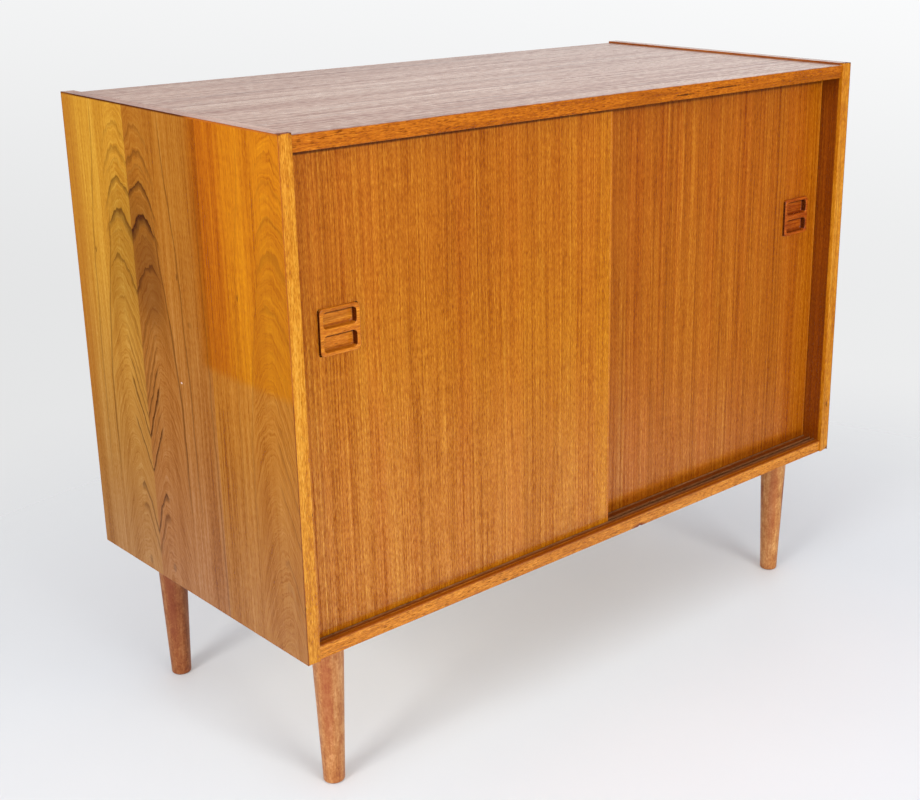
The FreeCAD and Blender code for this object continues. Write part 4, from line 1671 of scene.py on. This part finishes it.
@dataclass
class TopPanel(Assembly):
    """The top: core, veneer and front strip.

    Attributes:
        arris: Radius of the strip's lower front edge.
        veneer_arris: Radius of the veneer's front edge.
    """

    arris: float = 0.0008
    veneer_arris: float = 0.0003

    def build(self) -> None:
        """Build and dress the top."""
        self.dress("top_panel", self.finishes.inner_level)
        self.lay("top_panel_front_strip", Axis.X, (self.arris, FLUSH, FLUSH, FLUSH),
                 self.finishes.strip_top, "light_strip")
        self.lay("top_panel_veneer", Axis.X, (FLUSH, FLUSH, FLUSH, self.veneer_arris),
                 self.finishes.top, "top_veneer")


@dataclass
class BottomPanel(Assembly):
    """The bottom: core, front strip and the two tracks.

    Attributes:
        arris: Radius of the strip's front edges.
        chip_across: Place along X of the chip in its lower edge.
        chip_radius: How far the chip reaches.
        chip_push: How far the chip presses the wood in.
        lip: Width of a track's lips.
        floor: Thickness of a track under its groove.
        lip_radius: Radius of the lips' edges.
        groove_radius: Radius at the foot of the groove.
        parts: Sections along a track.
        sway: How far a track's lips sway.
        sways: How fast they sway along the track, and from track to track.
    """

    arris: float = 0.0008
    chip_across: float = 0.056
    chip_radius: float = 0.004
    chip_push: tuple[float, float, float] = (0, 0.0006, 0.0007)
    lip: float = 0.002
    floor: float = 0.0015
    lip_radius: float = 0.0005
    groove_radius: float = 0.0004
    parts: int = 60
    sway: float = 0.0001
    sways: tuple[float, float] = (9.0, 40.0)

    def build(self) -> None:
        """Build and dress the bottom."""
        low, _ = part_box("bottom_panel_front_strip")
        chip = Dent((self.chip_across, low.y, low.z), self.chip_radius, self.chip_push)
        self.dress("bottom_panel", self.finishes.under)
        self.lay("bottom_panel_front_strip", Axis.X, (self.arris, FLUSH, FLUSH, self.arris),
                 self.finishes.strip_level, "light_strip", [chip])
        for track in ("front_track", "rear_track"):
            self.place(self.track(track), self.finishes.track, "track_brown", track)

    def track(self, node: str) -> bpy.types.Object:
        """Build one grooved track.

        Args:
            node: The track's node.

        Returns:
            The piece.
        """
        low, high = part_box(node)
        base = low.z + self.floor
        front, rear = low.y + self.lip, high.y - self.lip
        corners = [
            (low.y, low.z), (high.y, low.z), (high.y, high.z), (rear, high.z),
            (rear, base), (front, base), (front, high.z), (low.y, high.z),
        ]
        lips = [self.lip_radius] * 2
        outline = eased(corners, [FLUSH] * 2 + lips + [self.groove_radius] * 2 + lips)
        fast, by_track = self.sways
        rings = []
        for step in range(self.parts + 1):
            along = low.x + (high.x - low.x) * step / self.parts
            sway = self.sway * noise.noise(Vector((along * fast, low.y * by_track, 0)))
            ring = []
            for across, up in outline:
                bent = across + sway * (up - low.z) / (high.z - low.z)
                ring.append(Vector((along, min(max(bent, low.y), high.y), up)))
            rings.append(ring)
        mesh = bmesh.new()
        skinned(mesh, rings)
        return finished(node + "_grooved", mesh)


@dataclass
class Inside(Assembly):
    """Partition, shelves, back and the fastenings between the boards.

    Attributes:
        arris: Radius of the strips' front edges.
        pin_easing: Easing of the shelf pins.
        dowel_easing: Easing of the dowels.
    """

    arris: float = 0.0006
    pin_easing: float = 0.0004
    dowel_easing: float = 0.0006

    def build(self) -> None:
        """Dress the boards and build their strips."""
        finishes = self.finishes
        self.dress("centre_partition", finishes.inner_upright)
        self.lay("centre_partition_front_strip", Axis.Z, (self.arris, self.arris, FLUSH, FLUSH),
                 finishes.strip_upright, "light_strip")
        for side in Side:
            name = side.label()
            self.dress(f"{name}_shelf", finishes.inner_level)
            self.lay(f"{name}_shelf_front_strip", Axis.X, (self.arris, FLUSH, FLUSH, self.arris),
                     finishes.strip_level, "light_strip")
            self.dress(f"{name}_shelf_pins", finishes.steel)
            self.soften(f"{name}_shelf_pins", self.pin_easing)
        self.dress("back_panel", finishes.back)
        for node in ("carcass_dowels", "partition_dowels"):
            self.dress(node, finishes.dowel)
            self.soften(node, self.dowel_easing)
        self.dress("leg_studs", finishes.steel)
        self.dress("leg_insert_nuts", finishes.brass)


@dataclass
class BackScrews(Assembly):
    """The countersunk screws with a straight slot that hold the back.

    Attributes:
        across: Half the spread of the screws along the top and the bottom.
        beside: Half the distance between the screws up the two sides.
        heights: Heights of the screws up the sides and the middle.
        inset: Distance of the upper and lower screws from the ends of their node.
        head: Radius of a head.
        shank: Radius of a shank.
        head_high: Height of a head.
        slot_wide: Width of the slot.
        slot_deep: Depth of the slot.
        arc: Parts of each half of the rim.
        turn: How much further each slot is turned than the one before, in degrees.
        sharp: Angle in degrees past which an edge stays sharp.
    """

    across: float = 0.324
    beside: float = 0.438
    heights: tuple[float, float] = (0.351, 0.571)
    inset: float = 0.003
    head: float = 0.003
    shank: float = 0.0015
    head_high: float = 0.0018
    slot_wide: float = 0.0009
    slot_deep: float = 0.0008
    arc: int = 10
    turn: float = 47.0
    sharp: float = 30.0

    def build(self) -> None:
        """Build all the screws as one piece."""
        low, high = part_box("back_panel_screws")
        ends = (low.z + self.inset, high.z - self.inset)
        places = [(x, z) for x in (-self.across, 0, self.across) for z in ends]
        places += [(x, z) for x in (-self.beside, 0, self.beside) for z in self.heights]
        mesh = bmesh.new()
        for number, (across, up) in enumerate(places):
            turn = math.radians(self.turn * number)
            self.screw(mesh, Vector((across, high.y, up)), low.y, turn)
        piece = finished("back_panel_screws_slotted", mesh, self.sharp)
        self.place(piece, self.finishes.steel, "steel", "back_panel_screws")

    def screw(self, mesh: bmesh.types.BMesh, place: Vector, tip: float, turn: float) -> None:
        """Add one screw.

        Args:
            mesh: The mesh that takes it.
            place: Middle of its head's face.
            tip: Place of its tip along Y.
            turn: How far its slot is turned.
        """
        half = math.asin(self.slot_wide / 2 / self.head)
        sweep = (math.pi - 2 * half) / self.arc
        angles = [half + sweep * step for step in range(self.arc + 1)]
        angles += [angle + math.pi for angle in angles]
        taper = (self.head - self.shank) / self.head_high

        def ring(radius: float, along: float) -> list[bmesh.types.BMVert]:
            """Return a ring of vertices round the screw."""
            return [mesh.verts.new((place.x + radius * math.cos(angle + turn), along,
                                    place.z + radius * math.sin(angle + turn))) for angle in angles]

        rim = ring(self.head, place.y)
        notch = ring(self.head - self.slot_deep * taper, place.y - self.slot_deep)
        neck = ring(self.shank, place.y - self.head_high)
        end = ring(self.shank, tip)
        count = len(angles)
        for upper, lower in ((notch, neck), (neck, end)):
            for number in range(count):
                after = (number + 1) % count
                mesh.faces.new((upper[number], upper[after], lower[after], lower[number]))
        mesh.faces.new(end)
        for start in (0, self.arc + 1):
            stop = start + self.arc
            for number in range(start, stop):
                mesh.faces.new((rim[number], rim[number + 1], notch[number + 1], notch[number]))
            mesh.faces.new(rim[start:stop + 1])
            mesh.faces.new((rim[start], rim[stop], notch[stop], notch[start]))
        mesh.faces.new((notch[0], notch[self.arc], notch[self.arc + 1], notch[count - 1]))


@dataclass
class SlidingDoor(Assembly):
    """One door: board, two edge strips and the handle let into it.

    Attributes:
        side: Which door it is.
        corner: Radius of the handle's corners.
        rim: Radius round the handle's front.
        pocket_wide: Width of a finger pocket.
        pocket_high: Height of a finger pocket.
        pocket_deep: Depth of a finger pocket.
        bar: Height of the bar between the pockets.
        pocket_corner: Radius of a pocket's corners.
        pocket_rim: Radius at a pocket's mouth.
        pocket_floor: Radius round a pocket's floor.
        least_corner: Least radius of any corner of the handle.
        corner_arc: Parts of a corner's arc.
        rim_arc: Parts of the arcs from a face into a wall.
        strip_easing: Easing of the door's edge strips.
    """

    side: Side = Side.LEFT
    corner: float = 0.0058
    rim: float = 0.0013
    pocket_wide: float = 0.0402
    pocket_high: float = 0.0176
    pocket_deep: float = 0.0078
    bar: float = 0.0068
    pocket_corner: float = 0.0042
    pocket_rim: float = 0.0009
    pocket_floor: float = 0.002
    least_corner: float = 0.0003
    corner_arc: int = 8
    rim_arc: int = 5
    strip_easing: float = 0.0003

    def build(self) -> None:
        """Build and dress the door."""
        name = self.side.label()
        left = self.side is Side.LEFT
        board = self.finishes.door_left if left else self.finishes.door_right
        self.dress(f"{name}_door", board)
        for strip in ("meeting", "outer"):
            node = f"{name}_door_{strip}_strip"
            self.dress(node, self.finishes.door_edge)
            self.soften(node, self.strip_easing)
        wood = self.finishes.handle_left if left else self.finishes.handle_right
        self.place(self.handle(f"{name}_handle"), wood, "handle_teak", f"{name}_handle")

    def rounded_square(self, centre: tuple[float, float], half_wide: float, half_high: float,
                       radius: float, grow: float) -> list[tuple[float, float]]:
        """Return a rounded rectangle, grown or drawn in on all sides.

        Args:
            centre: Its middle, across and up.
            half_wide: Half its width.
            half_high: Half its height.
            radius: Radius of its corners.
            grow: How far it is grown, below 0 for drawn in.

        Returns:
            Its outline.
        """
        across, up = centre
        wide, high = half_wide + grow, half_high + grow
        corners = [(across - wide, up - high), (across + wide, up - high),
                   (across + wide, up + high), (across - wide, up + high)]
        return eased(corners, [max(radius + grow, self.least_corner)] * 4, self.corner_arc)

    def handle(self, node: str) -> bpy.types.Object:
        """Build the handle with its two finger pockets.

        Args:
            node: The handle's node.

        Returns:
            The piece.
        """
        low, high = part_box(node)
        middle = (low + high) / 2
        front, back = low.y, high.y
        half = (high.x - low.x) / 2, (high.z - low.z) / 2
        quarter = [math.radians(90 * step / self.rim_arc) for step in range(self.rim_arc + 1)]

        def ring(outline: list[tuple[float, float]], depth: float) -> list[Vector]:
            """Return an outline set at a depth behind the front face."""
            return [Vector((across, front + depth, up)) for across, up in outline]

        mesh = bmesh.new()
        centre = (middle.x, middle.z)
        shell = [ring(self.rounded_square(centre, *half, self.corner, 0), back - front)]
        for angle in quarter:
            grow = self.rim * (math.cos(angle) - 1)
            shell.append(ring(self.rounded_square(centre, *half, self.corner, grow),
                              self.rim * (1 - math.sin(angle))))
        mouth = skinned(mesh, shell, last_cap=False)[-1]
        loops = [mouth]
        rise = (self.bar + self.pocket_high) / 2
        for up in (middle.z - rise, middle.z + rise):
            pocket = (middle.x, up)
            sizes = self.pocket_wide / 2, self.pocket_high / 2, self.pocket_corner
            walls = []
            for angle in quarter:
                grow = self.pocket_rim * (1 - math.sin(angle))
                walls.append(ring(self.rounded_square(pocket, *sizes, grow),
                                  self.pocket_rim * (1 - math.cos(angle))))
            for angle in quarter:
                grow = -self.pocket_floor * (1 - math.cos(angle))
                depth = self.pocket_deep - self.pocket_floor * (1 - math.sin(angle))
                walls.append(ring(self.rounded_square(pocket, *sizes, grow), depth))
            loops.append(skinned(mesh, walls, first_cap=False)[0])
        edges = []
        for loop in loops:
            for number, vertex in enumerate(loop):
                edges.append(mesh.edges.get((vertex, loop[(number + 1) % len(loop)])))
        bmesh.ops.triangle_fill(mesh, edges=edges, use_beauty=True)
        return finished(node + "_carved", mesh)


@dataclass
class Leg(Assembly):
    """One turned leg.

    Attributes:
        node: The leg's node.
        top_radius: Radius where it meets the bottom.
        foot_radius: Radius at the foot.
        foot_round: Radius of the foot's edge.
        sides: Number of faces round it.
        foot_arc: Parts of the foot's edge.
        parts: Parts from the foot's edge to the top.
        uneven: How far the turned surface falls short of a true cone.
        unevenness: How fast that changes up the leg, and from leg to leg.
        sharp: Angle in degrees past which an edge stays sharp.
    """

    node: str = ""
    top_radius: float = 0.01865
    foot_radius: float = 0.0121
    foot_round: float = 0.003
    sides: int = 72
    foot_arc: int = 6
    parts: int = 36
    uneven: float = 0.00006
    unevenness: tuple[float, float] = (40.0, 3.0)
    sharp: float = 50.0

    def profile(self) -> list[tuple[float, float]]:
        """Turn the leg's outline, from the foot up.

        Returns:
            The radius and the height of each section.
        """
        low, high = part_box(self.node)
        middle = (low + high) / 2
        fast, by_leg = self.unevenness
        points = []
        for step in range(self.foot_arc + 1):
            angle = math.radians(90 * step / self.foot_arc)
            points.append((self.foot_radius - self.foot_round * (1 - math.sin(angle)),
                           low.z + self.foot_round * (1 - math.cos(angle))))
        for step in range(1, self.parts + 1):
            share = step / self.parts
            radius = self.foot_radius + (self.top_radius - self.foot_radius) * share
            place = Vector((share * fast, middle.x * by_leg, middle.y * by_leg))
            radius -= self.uneven * abs(noise.noise(place))
            up = low.z + self.foot_round + (high.z - low.z - self.foot_round) * share
            points.append((radius, up))
        return points

    def build(self) -> None:
        """Build the leg."""
        low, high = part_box(self.node)
        middle = (low + high) / 2
        angles = [math.tau * number / self.sides for number in range(self.sides)]
        rings = []
        for radius, up in self.profile():
            rings.append([Vector((middle.x + radius * math.cos(angle),
                                  middle.y + radius * math.sin(angle), up)) for angle in angles])
        mesh = bmesh.new()
        skinned(mesh, rings)
        piece = finished(self.node + "_turned", mesh, self.sharp)
        self.place(piece, self.finishes.leg, "leg_wood", self.node)


# Studio


@dataclass(frozen=True)
class Softbox:
    """A large soft light.

    Attributes:
        name: Its name.
        place: Where it stands.
        size: Its width and height.
        power: Its power in watts.
    """

    name: str
    place: tuple[float, float, float]
    size: tuple[float, float]
    power: float

    def build(self, aim: Vector) -> None:
        """Set the light up, turned to the cabinet.

        Args:
            aim: The point that it looks at.
        """
        lamp = bpy.data.lights.new(self.name, "AREA")
        lamp.shape = "RECTANGLE"
        lamp.size, lamp.size_y = self.size
        lamp.energy = self.power
        stand = bpy.data.objects.new(self.name, lamp)
        stand.location = self.place
        stand.rotation_euler = (aim - stand.location).to_track_quat("-Z", "Y").to_euler()
        bpy.context.scene.collection.objects.link(stand)


@dataclass
class Studio:
    """The pale floor, the soft lights, the room about them and the camera.

    Attributes:
        lights: The soft lights.
        aim: The point that they look at.
        floor_centre: Where the middle of the floor lies.
        floor_fade: Radii at which the floor begins to fade into the room and has faded.
        floor_reach: Radius of the floor's own mesh, which goes on unseen past the fade.
        floor_tones: Colours of the floor's faint clouds.
        camera_place: Where the camera stands.
        heading: Its heading from +Y towards +X, in degrees.
        tilt: How far it looks down, in degrees.
        roll: How far it leans, in degrees.
        lens: Its focal length in millimetres.
        shift: Sideways and upward shift of the frame.
        ambient: Strength of the room's soft light from below and from above.
        ambient_rise: Heights of a direction between which that light changes.
        ambient_tint: Its colour.
        mirrored: Strength of what gloss mirrors before the cabinet and behind it.
        mirrored_rise: How far behind the cabinet a direction lies where that changes.
        backdrop: Strength of the room as the camera sees it, low and high.
        backdrop_rise: Heights of a direction between which that changes.
        backdrop_tint: Its colour.
        brighter_right: How much brighter the room is to the camera's right.
        gloss_right: How much brighter the mirrored room is to the camera's right.
        gloss_falls: How much the mirrored room darkens towards the ceiling.
    """

    lights: tuple[Softbox, ...] = (
        Softbox("overhead_softbox", (-0.6, -0.6, 3.0), (2.4, 2.4), 16),
        Softbox("left_softbox", (-3.3, -0.8, 1.6), (1.1, 1.1), 56),
        Softbox("front_softbox", (-0.3, -3.5, 1.6), (1.5, 1.5), 60),
    )
    aim: tuple[float, float, float] = (0.0, 0.0, 0.45)
    floor_centre: tuple[float, float] = (-0.05, -0.25)
    floor_fade: tuple[float, float] = (0.3, 1.5)
    floor_reach: float = 16.0
    floor_tones: tuple[Colour, Colour] = ((0.875, 0.91, 0.915), (0.905, 0.94, 0.945))
    camera_place: tuple[float, float, float] = (-1.1875, -1.3520, 0.9412)
    heading: float = 44.0789
    tilt: float = 18.0165
    roll: float = 0.0730
    lens: float = 56.570
    shift: tuple[float, float] = (-0.1087, -0.0326)
    ambient: tuple[float, float] = (1.15, 0.42)
    ambient_rise: tuple[float, float] = (0.05, 0.55)
    ambient_tint: Colour = (1.0, 1.0, 1.12)
    mirrored: tuple[float, float] = (0.0, 1.62)
    mirrored_rise: tuple[float, float] = (0.55, 0.85)
    backdrop: tuple[float, float] = (0.825, 0.96)
    backdrop_rise: tuple[float, float] = (-0.26, 0.0)
    backdrop_tint: Colour = (0.99, 0.995, 1.0)
    brighter_right: float = 0.12
    gloss_right: float = 0.8
    gloss_falls: float = 0.6

    def build(self) -> None:
        """Set the whole studio up."""
        bpy.context.scene.view_settings.view_transform = "Standard"
        self.camera()
        self.floor()
        self.room()
        for light in self.lights:
            light.build(Vector(self.aim))

    def camera(self) -> None:
        """Put the camera at the photograph's viewpoint."""
        heading, tilt, roll = map(math.radians, (self.heading, self.tilt, self.roll))
        forward = Vector((math.sin(heading) * math.cos(tilt), math.cos(heading) * math.cos(tilt),
                          -math.sin(tilt)))
        level = Vector((math.cos(heading), -math.sin(heading), 0))
        upright = level.cross(forward)
        right = level * math.cos(roll) + upright * math.sin(roll)
        up = upright * math.cos(roll) - level * math.sin(roll)
        lens = bpy.data.cameras.new("camera")
        lens.lens = self.lens
        lens.shift_x, lens.shift_y = self.shift
        stand = bpy.data.objects.new("camera", lens)
        turn = Matrix((right, up, -forward)).transposed().to_4x4()
        stand.matrix_world = Matrix.Translation(self.camera_place) @ turn
        bpy.context.scene.collection.objects.link(stand)
        bpy.context.scene.camera = stand

    def floor(self) -> None:
        """Lay the pale floor, which fades into the room about the cabinet."""
        sides, cloud_grain, cloud_rise, roughness, gloss = 96, 2.0, (0.3, 0.7), 0.55, 0.2
        mesh = bmesh.new()
        bmesh.ops.create_circle(mesh, cap_ends=True, radius=self.floor_reach, segments=sides)
        data = bpy.data.meshes.new("floor")
        mesh.to_mesh(data)
        mesh.free()
        floor = bpy.data.objects.new("floor", data)
        floor.location = (*self.floor_centre, 0)
        bpy.context.scene.collection.objects.link(floor)
        graph = Graph(bpy.data.materials.new("floor_paper"))
        place = graph.coordinates.outputs["Object"]
        away = graph.add("ShaderNodeVectorMath", {0: place}, operation="LENGTH").outputs["Value"]
        cloud = graph.noise(graph.zoomed(place, cloud_grain))
        colour = graph.ramp(cloud, list(zip(cloud_rise, self.floor_tones)))
        paper = {"Base Color": colour, "Roughness": roughness, "Specular IOR Level": gloss}
        shader = graph.add("ShaderNodeBsdfPrincipled", paper)
        clear = graph.add("ShaderNodeBsdfTransparent")
        fade = graph.rise(away, *self.floor_fade)
        feeds = {0: fade, 1: shader.outputs[0], 2: clear.outputs[0]}
        blend = graph.add("ShaderNodeMixShader", feeds)
        graph.add("ShaderNodeOutputMaterial", {"Surface": blend.outputs[0]})
        data.materials.append(graph.owner)

    def room(self) -> None:
        """Make the room: pale to the camera, bright behind the cabinet and dim before it."""
        world = bpy.data.worlds.new("room")
        bpy.context.scene.world = world
        graph = Graph(world)
        direction = graph.coordinates.outputs["Generated"]
        heading = math.radians(self.heading)
        behind = graph.dot(direction, (math.sin(heading), math.cos(heading), 0))
        beside = graph.dot(direction, (math.cos(heading), -math.sin(heading), 0))
        height = graph.parts(direction)[2]

        def background(strength: Socket, colour: Colour) -> Socket:
            """Return a background of one colour and a changing strength."""
            feeds = {"Color": colour, "Strength": strength}
            return graph.add("ShaderNodeBackground", feeds).outputs[0]

        def chosen(share: Socket, first: Socket, second: Socket) -> Socket:
            """Return the second background where the share is 1, else the first."""
            return graph.add("ShaderNodeMixShader", {0: share, 1: first, 2: second}).outputs[0]

        ambient = background(graph.rise(height, *self.ambient_rise, *self.ambient),
                             self.ambient_tint)
        gloss = graph.rise(behind, *self.mirrored_rise, *self.mirrored)
        gloss = graph.times(gloss, graph.math("MULTIPLY_ADD", beside, self.gloss_right, 1.0))
        gloss = graph.times(gloss, graph.math("MULTIPLY_ADD", height, -self.gloss_falls, 1.0))
        view = graph.rise(height, *self.backdrop_rise, *self.backdrop)
        view = graph.times(view, graph.math("MULTIPLY_ADD", beside, self.brighter_right, 1.0))
        path = graph.add("ShaderNodeLightPath").outputs
        indirect = chosen(path["Is Glossy Ray"], ambient, background(gloss, (1.0, 1.0, 1.0)))
        room = chosen(path["Is Camera Ray"], indirect, background(view, self.backdrop_tint))
        graph.add("ShaderNodeOutputWorld", {"Surface": room})


def side_knocks(side: Side) -> list[Dent]:
    """Return the knocks of a side's front strip, at the heights that the photograph shows.

    Args:
        side: The side.

    Returns:
        The knocks.
    """
    low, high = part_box(f"{side.label()}_side_front_strip")
    if side is Side.LEFT:
        return [Dent((low.x, low.y, 0.2509), 0.003, (0.0007, 0.0007, 0))]
    corner = Dent((high.x, low.y, low.z), 0.005, (-0.0011, 0.0011, 0.0011))
    fleck = Dent((low.x, low.y, 0.2567), 0.003, (0.0006, 0.0006, 0))
    return [corner, fleck]


def main() -> None:
    """Build every sub-assembly in order, then the studio."""
    logging.basicConfig(level=logging.INFO, format="%(name)s: %(message)s")
    finishes = Finishes()
    for side in Side:
        SidePanel(finishes, side=side, knocks=side_knocks(side)).build()
    TopPanel(finishes).build()
    BottomPanel(finishes).build()
    Inside(finishes).build()
    BackScrews(finishes).build()
    for side in Side:
        SlidingDoor(finishes, f"{side.label()}_sliding_door", side=side).build()
    for place in LEG_PLACES:
        Leg(finishes, node=f"leg_{place}").build()
    Studio().build()


if __name__ == "__main__":
    main()
